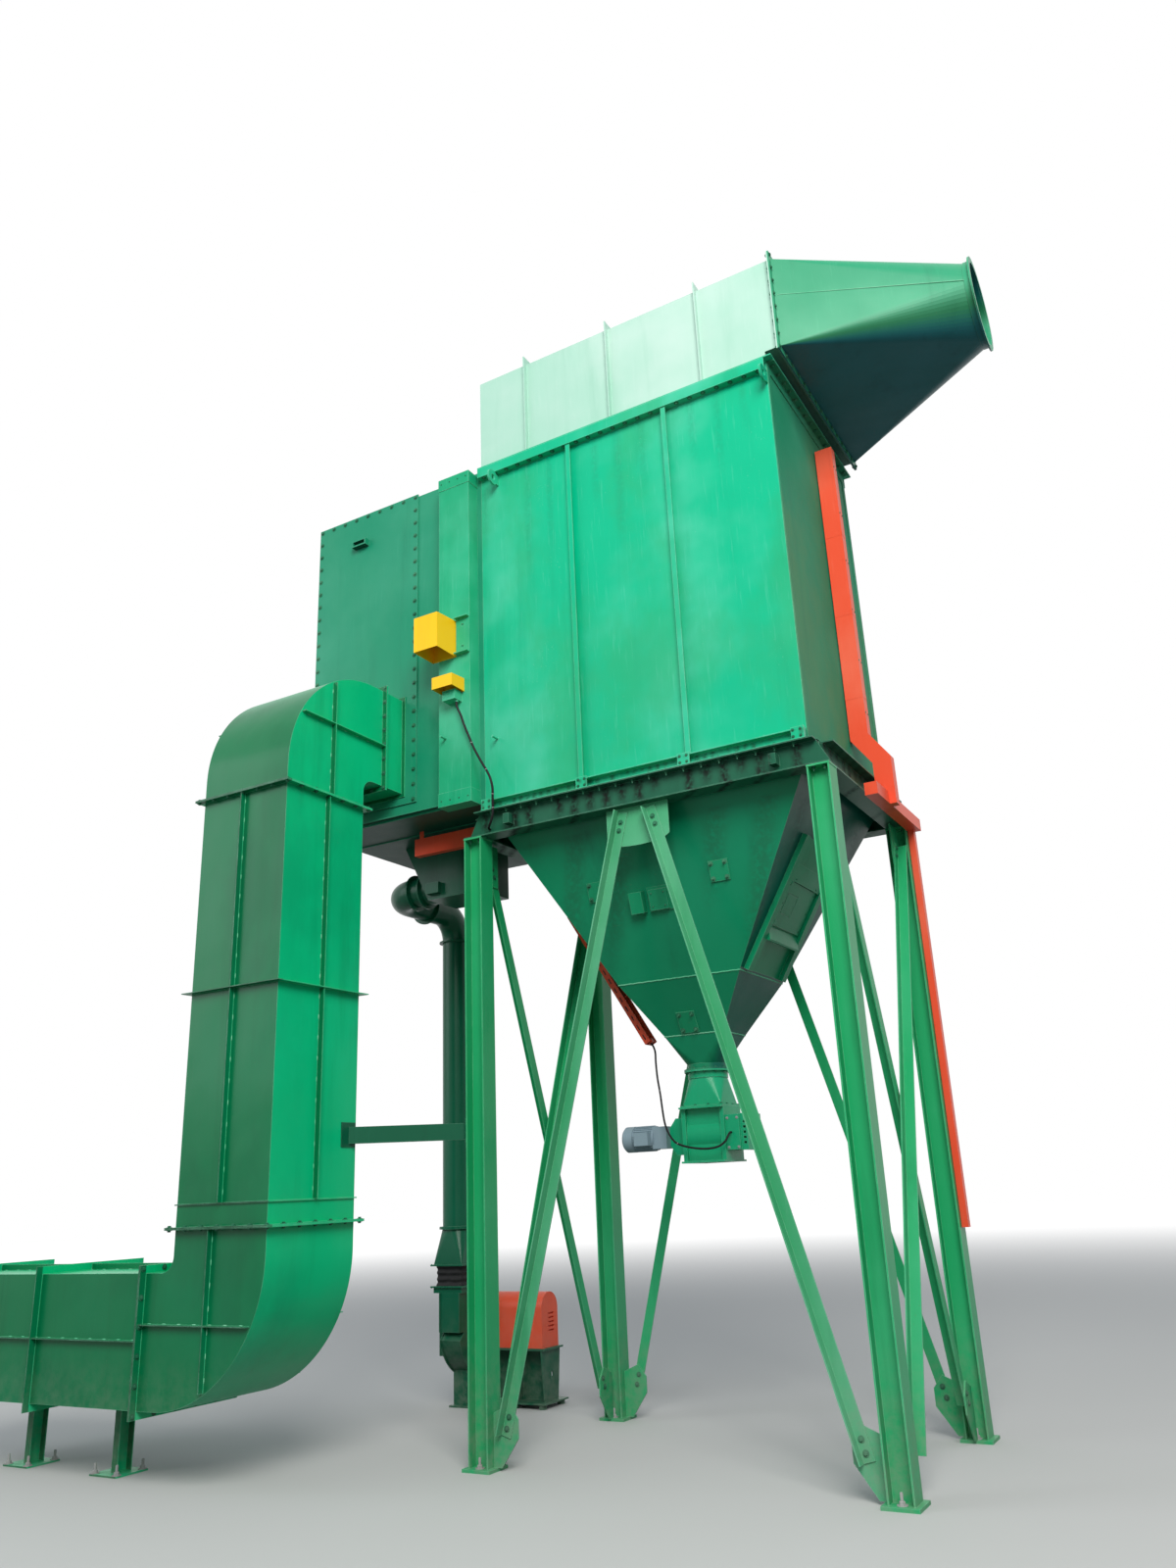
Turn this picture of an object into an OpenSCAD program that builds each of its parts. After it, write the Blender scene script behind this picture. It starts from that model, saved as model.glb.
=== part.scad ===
// Bag filter with hopper, inlet hood, clean gas duct and purge fan.
// Millimetres, +Z up, real size. X runs along the front, +Y to the back.
// Z = 0 is the floor, X = Y = 0 is under the middle of the front left column.
// The modules are drawn about the middle of the four columns and put in place by in_frame.

/* [Steel frame] */
// distance between column centres along the front
col_x = 2690; // [2400:10:3000]
// distance between column centres from front to back
col_y = 1760; // [1600:10:2000]
// height of the columns up to the ring beams
col_h = 4160; // [3600:20:4800]
// width and depth of the H section columns
col_w = 150; // [125:5:200]
// height of the ring beams
beam_h = 194; // [150:2:240]
// side of the square base plates
base_w = 210; // [200:5:300]
// leg of the bracing angles
angle_w = 75; // [60:5:90]

/* [Filter housing] */
// outside length of the housing along the front
house_x = 2550; // [2300:10:2600]
// outside depth of the housing
house_y = 1750; // [1500:10:1800]
// height of the housing walls
house_h = 3000; // [2400:20:3400]
// thickness of the sheet walls
wall_t = 6; // [4:1:10]

/* [Inlet] */
// height of the inlet hood above the housing
hood_h = 880; // [700:10:1000]
// overhang of the hood past the housing
hood_over = 115; // [80:5:160]
// length of the square to round piece
trans_l = 1320; // [1000:10:1600]
// bore of the round inlet
inlet_d = 620; // [560:10:640]
// diameter of the round inlet flange
inlet_flange_d = 710; // [700:10:800]
// number of bolt holes in the inlet flange
inlet_holes = 12; // [8:4:24]

/* [Clean air chamber] */
// length of the chamber along the front
chamber_x = 1660; // [1400:10:1900]
// height of the chamber underside above the ring beams
chamber_z = 110; // [60:10:300]
// width of the upright cable trunk
trunk_w = 300; // [240:10:360]
// depth of the upright cable trunk
trunk_d = 125; // [80:5:160]

/* [Hopper and valve] */
// height of the seam between the two hopper parts
seam_z = 3020; // [2900:10:3200]
// height of the outlet of the hopper
outlet_z = 2430; // [2350:10:2600]
// bore of the round hopper outlet
outlet_d = 250; // [200:10:300]
// height of the rotary valve underside
valve_z = 1790; // [1700:10:1900]
// bore of the rotary valve barrel
rotor_d = 260; // [220:10:280]

/* [Clean gas duct] */
// outside width of the square duct
duct_w = 800; // [600:10:860]
// distance from the housing front to the back of the riser
duct_gap = 470; // [420:5:700]
// throat radius of the duct elbows
throat_r = 100; // [80:10:200]
// straight length between the riser and the top elbow
neck_up = 146; // [60:2:240]
// straight length between the bottom elbow and the riser
neck_low = 165; // [80:5:240]
// height of the middle of the lying duct
duct_z = 855; // [800:5:1000]
// length of the lying duct past its elbow
run_l = 2060; // [1200:10:3000]

/* [Purge fan set] */
// outside diameter of the purge pipe
pipe_d = 250; // [200:10:280]
// distance of the purge fan from the middle of the frame
fan_y = 930; // [900:10:1100]
// distance of the purge pipe from the middle of the frame
fan_x = 2870; // [2860:10:3000]

/* [Drawing] */
// node to draw, all draws every one

/* [Hidden] */
$fn = 64;
green = [0.06, 0.50, 0.27];
pale_green = [0.30, 0.68, 0.45];
duct_green = [0.02, 0.42, 0.25];
yellow = [0.95, 0.62, 0.03];
orange = [0.80, 0.20, 0.08];
motor_grey = [0.36, 0.45, 0.50];
flange_t = 10;
web_t = 7;
base_t = 20;
gap = 0.3;
beam_flange_t = 9;
beam_web_t = 6;
frame_top = col_h + beam_h;
cx = col_x / 2;
cy = col_y / 2;
hx = house_x / 2;
hy = house_y / 2;
house_top = frame_top + house_h;
hood_z = house_top + 90;
hood_top = house_top + 10 + hood_h;
lip = 60;
rib_t = 10;
lug_t = 16;
lug_hole = 50;

// moves the middle of the four columns off the front left one
module in_frame() {
  translate([cx, cy, 0])
    children();
}

// H section upright, flanges facing along X
module h_post(h) {
  for (s = [-1, 1])
    translate([s * (col_w - flange_t) / 2 - flange_t / 2, -col_w / 2, 0])
      cube([flange_t, col_w, h]);
  translate([-col_w / 2 + flange_t, -web_t / 2, 0])
    cube([col_w - 2 * flange_t, web_t, h]);
}

// one column with base plate, anchor holes and cap plate
module column(sx, sy) {
  translate([sx * cx, sy * cy, 0]) {
    difference() {
      translate([-base_w / 2, -base_w / 2, 0])
        cube([base_w, base_w, base_t]);
      for (s = [-1, 1])
        translate([0, s * (col_w / 2 - 20), -1])
          cylinder(h = base_t + 2, d = 22);
    }
    translate([0, 0, base_t])
      h_post(col_h - base_t - 12);
    translate([-col_w / 2 - 3, -col_w / 2 - 3, col_h - 12])
      cube([col_w + 6, col_w + 6, 12]);
  }
}

module column_front_left() { in_frame() color(green) column(-1, -1); }
module column_front_right() { in_frame() color(green) column(1, -1); }
module column_back_left() { in_frame() color(green) column(-1, 1); }
module column_back_right() { in_frame() color(green) column(1, 1); }

// long ring beam along X with sloping web ends and two small lugs
module long_beam(s) {
  top_x = cx + col_w / 2 - 90;
  bottom_x = cx + col_w / 2;
  translate([-bottom_x, s * cy - col_w / 2, col_h])
    cube([2 * bottom_x, col_w, beam_flange_t]);
  translate([-top_x, s * cy - col_w / 2, frame_top - beam_flange_t])
    cube([2 * top_x, col_w, beam_flange_t]);
  translate([0, s * cy + beam_web_t / 2, col_h + beam_flange_t])
    rotate([90, 0, 0])
      linear_extrude(beam_web_t)
        polygon([[-bottom_x, 0], [bottom_x, 0], [top_x, beam_h - 2 * beam_flange_t],
          [-top_x, beam_h - 2 * beam_flange_t]]);
  for (x = [-1, 1])
    translate([x * (cx - 300) - 25, s * (cy + 38) - 35, col_h + 60])
      cube([50, 70, 75]);
}

// short ring beam along Y between the long ones
module short_beam(s) {
  reach = cy - beam_web_t / 2 - gap;
  inner = cy - col_w / 2 - gap;
  for (z = [col_h, frame_top - beam_flange_t])
    translate([s * cx - col_w / 2, -inner, z])
      cube([col_w, 2 * inner, beam_flange_t]);
  translate([s * cx - beam_web_t / 2, -reach, col_h + beam_flange_t + 12])
    cube([beam_web_t, 2 * reach, beam_h - 2 * beam_flange_t - 24]);
  translate([s * cx - beam_web_t / 2, -inner, col_h + beam_flange_t])
    cube([beam_web_t, 2 * inner, beam_h - 2 * beam_flange_t]);
}

module front_beam() { in_frame() color(green) long_beam(-1); }
module back_beam() { in_frame() color(green) long_beam(1); }
module left_beam() { in_frame() color(green) short_beam(-1); }
module right_beam() { in_frame() color(green) short_beam(1); }

// angle bar lying in a wall plane from one point to another, plane Y = 0
module angle_bar(x0, z0, x1, z1, side) {
  run = sqrt((x1 - x0) * (x1 - x0) + (z1 - z0) * (z1 - z0));
  translate([x0, 0, z0])
    rotate([0, -atan2(z1 - z0, x1 - x0), 0]) {
      translate([0, side > 0 ? 0 : -8, -angle_w / 2])
        cube([run, 8, angle_w]);
      translate([0, side > 0 ? 8 : -angle_w, -angle_w / 2])
        cube([run, angle_w - 8, 8]);
    }
}

// foot gusset beside a column, drawn in the plane Y = 0
module foot_gusset(x, s) {
  translate([x, 5, 0])
    rotate([90, 0, 0])
      linear_extrude(10)
        polygon([[0, base_t], [s * 60, base_t], [s * 185, 190], [s * 185, 300], [s * 120, 380], [0, 330]]);
}

// inverted V of two angles under the middle of a long beam
module chevron(s) {
  inner = cx - col_w / 2 - gap;
  translate([0, s * cy, 0]) {
    translate([0, 5, 0])
      rotate([90, 0, 0])
        linear_extrude(10)
          difference() {
            union() {
              translate([-240, col_h - 230])
                square([480, 230 - gap]);
              translate([0, col_h - 230])
                scale([1, 0.22])
                  circle(r = 240);
            }
            for (m = [-1, 1], k = [0, 1])
              translate([m * (118 + k * 14), col_h - 60 - k * 60])
                circle(d = 18);
          }
    for (m = [-1, 1])
      foot_gusset(m * inner, -m);
    for (m = [-1, 1])
      translate([0, s * (5 + gap), 0])
        angle_bar(m * 105, col_h - 30, m * (inner - 95), 200, s);
  }
}

module front_bracing() { in_frame() color(green) chevron(-1); }
module back_bracing() { in_frame() color(green) chevron(1); }

// crossed angles between a front and a back column
module cross_brace(s) {
  inner = cy - col_w / 2 - gap;
  translate([s * cx, 0, 0])
    rotate([0, 0, 90]) {
      for (m = [-1, 1]) {
        foot_gusset(m * inner, -m);
        translate([m * inner - (m > 0 ? 175 : 0), -5, col_h - 330])
          cube([175, 10, 330 - 12 - gap]);
      }
      translate([0, -5 - gap, 0])
        angle_bar(-inner + 105, 215, inner - 90, col_h - 160, -1);
      translate([0, 5 + gap, 0])
        angle_bar(inner - 105, 215, -inner + 90, col_h - 160, 1);
    }
}

module left_bracing() { in_frame() color(green) cross_brace(-1); }
module right_bracing() { in_frame() color(green) cross_brace(1); }

// stiffener angle on a wall face
module wall_rib(x, z0, z1) {
  translate([x - 4, -50, z0])
    cube([8, 50, z1 - z0]);
  translate([x - 4, -50, z0])
    cube([38, 8, z1 - z0]);
}

// outside face of a long wall at Y = 0, parts stand out to -Y
module long_wall() {
  rib_x = house_x / 6;
  translate([-hx, 0, frame_top])
    cube([house_x, wall_t, house_h]);
  for (m = [-1, 1])
    wall_rib(m * rib_x, frame_top + 86, house_top - 86);
  // bottom flange and the band above it
  translate([-hx, -70, frame_top])
    cube([house_x, 70, 8]);
  translate([-hx, -50, frame_top + 78])
    cube([house_x, 50, 8]);
  for (x = [-hx, -rib_x - 25, rib_x - 65, hx - 90])
    translate([x, -60, frame_top + 8])
      cube([90, 10, 84]);
  for (x = [-hx, -rib_x - 5, rib_x - 5, hx - 10])
    translate([x, -50, frame_top + 8])
      cube([10, 50, 70]);
  // top lip with its flange
  translate([-hx, -lip, house_top - 8])
    cube([house_x, lip, 8]);
  translate([-hx, -lip, house_top - 84])
    cube([house_x, 8, 76]);
  translate([-hx, -lip + 8, house_top - 84])
    cube([house_x, lip - 8, 6]);
}

lug_d = 130;
lug_reach = 80;

// ring shaped lifting lug standing out from the front wall below its top lip
module ring_lug(x) {
  translate([x - lug_t / 2, -hy - lug_reach, house_top - 145])
    rotate([0, 90, 0])
      difference() {
        union() {
          cylinder(h = lug_t, d = lug_d);
          translate([-45, 0, 0])
            cube([90, lug_reach - gap, lug_t]);
        }
        translate([0, 0, -1])
          cylinder(h = lug_t + 2, d = lug_hole);
      }
}

module lifting_lugs() {
  in_frame() color(pale_green)
    for (x = [-hx + 165, hx - lug_t / 2])
      ring_lug(x);
}

module housing_front_wall() {
  in_frame() color(pale_green) {
    translate([0, -hy, 0])
      long_wall();
    translate([-hx + 118, -hy, frame_top + 578])
      rotate([90, 0, 0])
        cylinder(h = 75, d = 18);
  }
}

module housing_back_wall() {
  in_frame() color(pale_green)
    rotate([0, 0, 180])
      translate([0, -hy, 0])
        long_wall();
}

// plain end wall between the long ones
module end_wall(s) {
  inner = hy - wall_t - gap;
  translate([s > 0 ? hx - wall_t : -hx, -inner, frame_top])
    cube([wall_t, 2 * inner, house_h]);
}

module housing_right_wall() {
  in_frame() color(pale_green) {
    end_wall(1);
    translate([hx, -hy, frame_top])
      cube([60, house_y, 8]);
    translate([hx, -hy, house_top - 84])
      cube([8, house_y, 84]);
    translate([hx + 8, -hy, house_top - 8])
      cube([lip - 8, house_y, 8]);
    for (y = [-hy, hy - 40])
      translate([hx, y, frame_top + 8])
        cube([8, 40, house_h - 92]);
  }
}

module housing_left_wall() { in_frame() color(pale_green) end_wall(-1); }

// lid plate on the walls under the hood
module housing_roof() {
  in_frame() color(pale_green)
    difference() {
      translate([-hx, -hy - lip, house_top + gap])
        cube([house_x + lip, house_y + 2 * lip, 10 - gap]);
      translate([-hx + 250, -hy + 250, house_top - 1])
        cube([house_x - 500, house_y - 500, 12]);
    }
}

// box shell hood, open to the right and below
module inlet_hood() {
  left = -hx;
  right = hx + hood_over;
  base = house_top + 10 + gap;
  in_frame() color(pale_green) {
    difference() {
      union() {
        translate([left, -hy, base])
          cube([house_x, house_y, hood_top - base]);
        translate([left, -hy, hood_z])
          cube([right - left, house_y, hood_top - hood_z]);
      }
      translate([left + wall_t, -hy + wall_t, base - 1])
        cube([house_x - 2 * wall_t, house_y - 2 * wall_t, hood_top - wall_t - base + 1]);
      translate([0, -hy + wall_t, hood_z + wall_t])
        cube([right + 1, house_y - 2 * wall_t, hood_top - hood_z - 2 * wall_t]);
    }
    for (x = [-806, -23, 770])
      for (s = [-1, 1])
        translate([x - 5, s > 0 ? hy : -hy - 40, base])
          cube([rib_t, 40, hood_top + 60 - base]);
    for (x = [-806, -23, 770])
      translate([x - 5, -hy, hood_top])
        cube([rib_t, house_y, 60]);
    difference() {
      translate([right - 10, -hy - 45, hood_z - 45])
        cube([10, house_y + 90, hood_top - hood_z + 90]);
      translate([right - 11, -hy + wall_t, hood_z + wall_t])
        cube([12, house_y - 2 * wall_t, hood_top - hood_z - 2 * wall_t]);
    }
  }
}

// shell from a rectangle at X = 0 to a circle at X = len, flat triangles and cone corners
module square_to_round(len, w, h, r, t, n) {
  q = n / 4;
  corner = [[1, 1], [-1, 1], [-1, -1], [1, -1]];
  function ring(rr) = [for (i = [0:n - 1]) [len, rr * cos(i * 360 / n), rr * sin(i * 360 / n)]];
  function rect(a, b) = [for (c = corner) [0, c[0] * a, c[1] * b]];
  pts = concat(rect(w / 2, h / 2), ring(r), rect(w / 2 - t, h / 2 - t), ring(r - t));
  ob = 4;
  ib = 4 + n;
  ir = 8 + n;
  outer = concat(
    [for (i = [0:n - 1]) [floor(i / q), ob + i, ob + (i + 1) % n]],
    [for (k = [0:3]) [k, ob + ((k + 1) * q) % n, (k + 1) % 4]]);
  inner = concat(
    [for (i = [0:n - 1]) [ib + floor(i / q), ir + (i + 1) % n, ir + i]],
    [for (k = [0:3]) [ib + k, ib + (k + 1) % 4, ir + ((k + 1) * q) % n]]);
  ends = concat(
    [for (i = [0:n - 1]) [ob + i, ir + i, ir + (i + 1) % n, ob + (i + 1) % n]],
    [for (k = [0:3]) [k, (k + 1) % 4, ib + (k + 1) % 4, ib + k]]);
  polyhedron(points = pts, faces = concat(outer, inner, ends));
}

module inlet_transition() {
  start = hx + hood_over + gap;
  mid_z = (hood_z + hood_top) / 2;
  in_frame() color(green)
    translate([start, 0, mid_z]) {
      difference() {
        translate([0, -hy - 45, -(hood_top - hood_z) / 2 - 45])
          cube([10, house_y + 90, hood_top - hood_z + 90]);
        translate([-1, -hy + wall_t + 5, -(hood_top - hood_z) / 2 + wall_t + 5])
          cube([12, house_y - 2 * wall_t - 10, hood_top - hood_z - 2 * wall_t - 10]);
      }
      translate([8, 0, 0])
        square_to_round(trans_l - 54, house_y, hood_top - hood_z, inlet_d / 2 + 8, 5, 64);
      // collar that the sheet runs into
      translate([trans_l - 52, 0, 0])
        rotate([0, 90, 0])
          difference() {
            cylinder(h = 42, d = inlet_d + 32);
            translate([0, 0, -1])
              cylinder(h = 44, d = inlet_d);
          }
    }
}

module inlet_flange() {
  start = hx + hood_over + gap + trans_l - 10 + gap;
  mid_z = (hood_z + hood_top) / 2;
  in_frame() color(green)
    translate([start, 0, mid_z])
      rotate([0, 90, 0])
        difference() {
          cylinder(h = 12, d = inlet_flange_d);
          translate([0, 0, -1])
            cylinder(h = 14, d = inlet_d);
          for (i = [0:inlet_holes - 1])
            rotate([0, 0, (i + 0.5) * 360 / inlet_holes])
              translate([(inlet_d + inlet_flange_d) / 4 + 5, 0, -1])
                cylinder(h = 14, d = 14);
        }
}

// how far the bolted front panel runs past the chamber at the left and stays short below
panel_over = 100;
panel_up = 116;

// closed shell at the left end, its front flanged for the panel
module clean_air_chamber() {
  left = -hx - gap - chamber_x;
  right = -hx - gap;
  base = frame_top + chamber_z;
  top = house_top + 10;
  duct_x = chamber_duct_x();
  in_frame() color(duct_green)
    difference() {
      union() {
        translate([left, -hy, base])
          cube([chamber_x, house_y, top - base]);
        translate([left - panel_over, -hy, base + panel_up])
          cube([panel_over, 10, top - base - panel_up]);
        translate([left, -hy - 40, base + 20])
          cube([chamber_x - 360, 40, 10]);
        translate([left, -hy + 420, base - 8])
          cube([chamber_x, 10, 8]);
        translate([left, 430, base - 8])
          cube([chamber_x, 10, 8]);
      }
      translate([left + wall_t, -hy + wall_t, base + wall_t])
        cube([chamber_x - 2 * wall_t, house_y - 2 * wall_t, top - base - 2 * wall_t]);
      translate([duct_x - duct_w / 2 + 10, -hy - 60, elbow_out_z() - duct_w / 2 + 10])
        cube([duct_w - 20, 100, duct_w - 20]);
    }
}

function chamber_duct_x() = -hx - chamber_x + 465;
function elbow_out_z() = bend_z + neck_up + throat_r + duct_w / 2;

module chamber_front_panel() {
  left = -hx - gap - chamber_x - panel_over;
  base = frame_top + chamber_z + panel_up;
  top = house_top + 26;
  wide = chamber_x + panel_over - 655;
  in_frame() color(duct_green)
    difference() {
      union() {
        translate([left, -hy - 12, base])
          cube([wide, 12 - gap, top - base]);
        translate([left + 420, -hy - 67, top - 330])
          difference() {
            cube([150, 56, 60]);
            translate([12, -1, 12])
              cube([126, 41, 36]);
          }
      }
      translate([chamber_duct_x() - duct_w / 2 + 10, -hy - 60, elbow_out_z() - duct_w / 2 + 10])
        cube([duct_w - 20, 100, duct_w - 20]);
    }
}

trunk_x = -hx - 45 - trunk_w;
trunk_y = -hy - trunk_d;
canopy_right = trunk_x + 168;

// upright cover box with a cap above and below
module cable_trunk() {
  base = frame_top + 80;
  top = house_top - 24;
  cap_h = 110;
  in_frame() color(pale_green) {
    translate([trunk_x, trunk_y, base + cap_h])
      cube([trunk_w, trunk_d - gap, top - base - 2 * cap_h]);
    for (z = [base, top - cap_h])
      translate([trunk_x - 4, trunk_y - 4, z])
        cube([trunk_w + 8, trunk_d + 4 - gap, cap_h]);
    translate([trunk_x + 66, trunk_y + 5, frame_top + 630])
      rotate([90, 0, 0])
        cylinder(h = 75, d = 18);
    // bracket plate with two holes beside the large canopy
    difference() {
      translate([canopy_right + 6, trunk_y - 8, frame_top + 1311])
        cube([trunk_x + trunk_w - canopy_right - 6, 9, 315]);
      for (z = [1370, 1560])
        translate([(canopy_right + trunk_x + trunk_w) / 2, trunk_y + 2, frame_top + z])
          rotate([90, 0, 0])
            cylinder(h = 12, d = 26);
    }
    for (z = [1311, 1618])
      translate([canopy_right + 6, trunk_y - 45, frame_top + z])
        cube([trunk_x + trunk_w - canopy_right - 6, 46, 8]);
    // instrument box below the small canopy, with its cable gland
    translate([trunk_x + 100, trunk_y - 92, frame_top + 905])
      cube([120, 93, 81 - gap]);
    translate([trunk_x + 202, trunk_y - 45, frame_top + 891])
      cylinder(h = 15, d = 28);
  }
}

// rain canopy open below, back at Y = 0
module canopy(w, d, h, drop) {
  difference() {
    rotate([90, 0, 90])
      linear_extrude(w)
        polygon([[0, 0], [-d, 0], [-d, h - drop], [0, h]]);
    translate([3, -d + 3, -1])
      cube([w - 6, d - 6, h - drop - 2]);
  }
}

module rain_canopies() {
  in_frame() color(yellow) {
    translate([canopy_right - 225, trunk_y - gap, frame_top + 1300])
      canopy(225, 250, 315, 20);
    translate([trunk_x + 56, trunk_y - gap, frame_top + 986])
      canopy(189, 167, 110, 12);
  }
}

// shell between two level rectangles, half sizes given
module pyramid_shell(x0, y0, z0, x1, y1, z1, t) {
  c = [[1, 1], [-1, 1], [-1, -1], [1, -1]];
  function level(a, b, z) = [for (k = c) [k[0] * a, k[1] * b, z]];
  pts = concat(level(x0, y0, z0), level(x1, y1, z1), level(x0 - t, y0 - t, z0), level(x1 - t, y1 - t, z1));
  polyhedron(points = pts, faces = concat(
    [for (k = [0:3]) [k, 4 + k, 4 + (k + 1) % 4, (k + 1) % 4]],
    [for (k = [0:3]) [8 + k, 8 + (k + 1) % 4, 12 + (k + 1) % 4, 12 + k]],
    [for (k = [0:3]) [k, (k + 1) % 4, 8 + (k + 1) % 4, 8 + k]],
    [for (k = [0:3]) [4 + k, 12 + k, 12 + (k + 1) % 4, 4 + (k + 1) % 4]]));
}

top_a = cx - col_w / 2 - gap;
top_b = cy - col_w / 2 - gap;
seam_a = 470;
seam_b = 400;
low_a = 225;
low_b = 200;
low_z = 2650;
skin = 8;

module hopper_upper() {
  in_frame() color(green) {
    pyramid_shell(seam_a, seam_b, seam_z, top_a, top_b, frame_top - gap, skin);
    difference() {
      translate([-top_a, -top_b, frame_top - 10])
        cube([2 * top_a, 2 * top_b, 10 - gap]);
      translate([-top_a + 60, -top_b + 60, frame_top - 11])
        cube([2 * top_a - 120, 2 * top_b - 120, 12]);
    }
  }
}

module hopper_lower() {
  in_frame() color(green) {
    pyramid_shell(low_a, low_b, low_z, seam_a, seam_b, seam_z - gap, skin);
    translate([0, 0, low_z])
      rotate([0, 90, 0])
        square_to_round(low_z - outlet_z - 14, 2 * low_b, 2 * low_a, outlet_d / 2 + 9, 6, 64);
    translate([0, 0, outlet_z - 20])
      difference() {
        union() {
          cylinder(h = 44, d = outlet_d + 32);
          cylinder(h = 10, d = outlet_d + 84);
        }
        translate([0, 0, -1])
          cylinder(h = 46, d = outlet_d);
      }
  }
}

// frame on the sloping right face of the upper hopper, X along Y of the slope
module on_right_slope() {
  ang = atan2(top_a - seam_a, frame_top - seam_z);
  translate([seam_a, 0, seam_z])
    rotate([0, ang, 0])
      children();
}

module on_low_front() {
  ang = atan2(seam_b - low_b, seam_z - low_z);
  translate([0, -low_b, low_z])
    rotate([ang, 0, 0])
      children();
}

module on_left_slope() {
  ang = atan2(top_a - seam_a, frame_top - seam_z);
  translate([-seam_a, 0, seam_z])
    rotate([0, -ang, 0])
      children();
}

module on_front_slope() {
  ang = atan2(top_b - seam_b, frame_top - seam_z);
  translate([0, -seam_b, seam_z])
    rotate([ang, 0, 0])
      children();
}

// two rails with a door, an upper cover and a ledge between them
module hopper_access_cover() {
  rail_y = 280;
  rail_w = 70;
  door_w = 505;
  in_frame() color(green)
    on_right_slope()
      translate([gap, 0, 0]) {
        for (y = [-rail_y - rail_w, rail_y])
          translate([0, y, 20])
            cube([38, rail_w, 1010]);
        translate([0, -rail_y, 20])
          cube([4, 2 * rail_y, 1010]);
        difference() {
          translate([4, -door_w / 2, 370])
            cube([14, door_w, 330]);
          difference() {
            translate([14, -205, 460])
              cube([5, 190, 160]);
            translate([13, -197, 468])
              cube([7, 174, 144]);
          }
        }
        translate([4, -rail_y + 4, 705])
          cube([26, 2 * rail_y - 8, 125]);
        translate([0, rail_y - 4, 0])
          rotate([90, 0, 0])
            linear_extrude(2 * rail_y - 8)
              polygon([[4, 255], [60, 262], [60, 275], [4, 362]]);
        for (z = [383, 680])
          translate([4, -door_w / 2 - 22, z])
            cube([34, 40, 26]);
      }
}

module hopper_hand_plates() {
  in_frame() color(green) {
    on_front_slope() {
      for (p = [[-570, 617, 142, 142], [-104, 481, 186, 174], [394, 614, 142, 145]])
        translate([p[0], -10 - gap, p[1]])
          cube([p[2], 10, p[3]]);
      // raised cover and open sided box
      translate([-86, -36 - gap, 490])
        cube([140, 27, 146]);
      translate([-230, -60 - gap, 486])
        cube([100, 60, 152]);
    }
    on_low_front()
      translate([-84, -10 - gap, 17])
        cube([138, 10, 155]);
  }
}

// round to square piece between hopper and valve
module outlet_transition() {
  top = outlet_z - 20 - gap;
  base = valve_z + 370;
  in_frame() color(green) {
    translate([0, 0, top - 54])
      difference() {
        union() {
          cylinder(h = 54, d = outlet_d + 32);
          translate([0, 0, 44])
            cylinder(h = 10, d = outlet_d + 84);
        }
        translate([0, 0, -1])
          cylinder(h = 56, d = outlet_d);
      }
    translate([0, 0, base + 6 + gap])
      rotate([0, -90, 0])
        square_to_round(top - 50 - base - 6 - gap, 290, 290, outlet_d / 2 + 9, 6, 64);
    difference() {
      translate([-160, -160, base + gap])
        cube([320, 320, 10]);
      translate([-136, -136, base - 1])
        cube([272, 272, 12 + gap]);
    }
  }
}

// reach of the flat web that carries the gear unit past the valve
web_reach = 165;

// rotary valve, barrel along X between two square end plates
module valve_body() {
  h = 370;
  mid = valve_z + h / 2;
  in_frame() color(green) {
    difference() {
      union() {
        for (z = [valve_z, valve_z + h - 12])
          translate([-160, -190, z])
            cube([320, 380, 12]);
        translate([-130, 0, mid])
          rotate([0, 90, 0])
            cylinder(h = 260, d = rotor_d + 24);
        for (x = [-160, 130])
          translate([x, -150, valve_z + 12])
            cube([30, 300, h - 24]);
        translate([-131, -126, valve_z + 11])
          cube([262, 252, h - 22]);
        // flat web that carries the gear unit
        translate([-160, 8, mid])
          rotate([90, 0, 0])
            linear_extrude(16)
              polygon([[0, -125], [0, 125], [50 - web_reach, 125], [-web_reach, 60], [-web_reach, -60],
                [50 - web_reach, -125]]);
      }
      translate([-118, 0, mid])
        rotate([0, 90, 0])
          cylinder(h = 236, d = rotor_d);
      translate([-118, -118, valve_z - 1])
        cube([236, 236, h / 2]);
      translate([-118, -118, mid])
        cube([236, 236, h / 2 + 1]);
      for (x = [-140, 140], y = [-172, 0, 172])
        translate([x, y, valve_z - 1])
          cylinder(h = 14, d = 12);
    }
  }
}

// six vanes on a shaft inside the barrel
module valve_rotor() {
  mid = valve_z + 185;
  in_frame() color([0.45, 0.46, 0.47])
    translate([-117, 0, mid])
      rotate([0, 90, 0]) {
        cylinder(h = 234, d = 70);
        for (i = [0:2])
          rotate([0, 0, i * 60 + 12])
            translate([-rotor_d / 2 + 1, -4, 2])
              cube([rotor_d - 2, 8, 230]);
      }
}

// box over the chain with a slotted cover beyond it
module chain_guard() {
  mid = valve_z + 185;
  in_frame() color(green) {
    translate([160 + gap, -130, mid - 110])
      cube([100, 260, 230]);
    difference() {
      translate([160 + gap + 100, -110, mid - 115])
        cube([50, 250, 240]);
      for (i = [0:4])
        translate([160 + gap + 118, -120, mid - 75 + i * 34])
          cube([20, 40, 16]);
    }
  }
}

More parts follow.
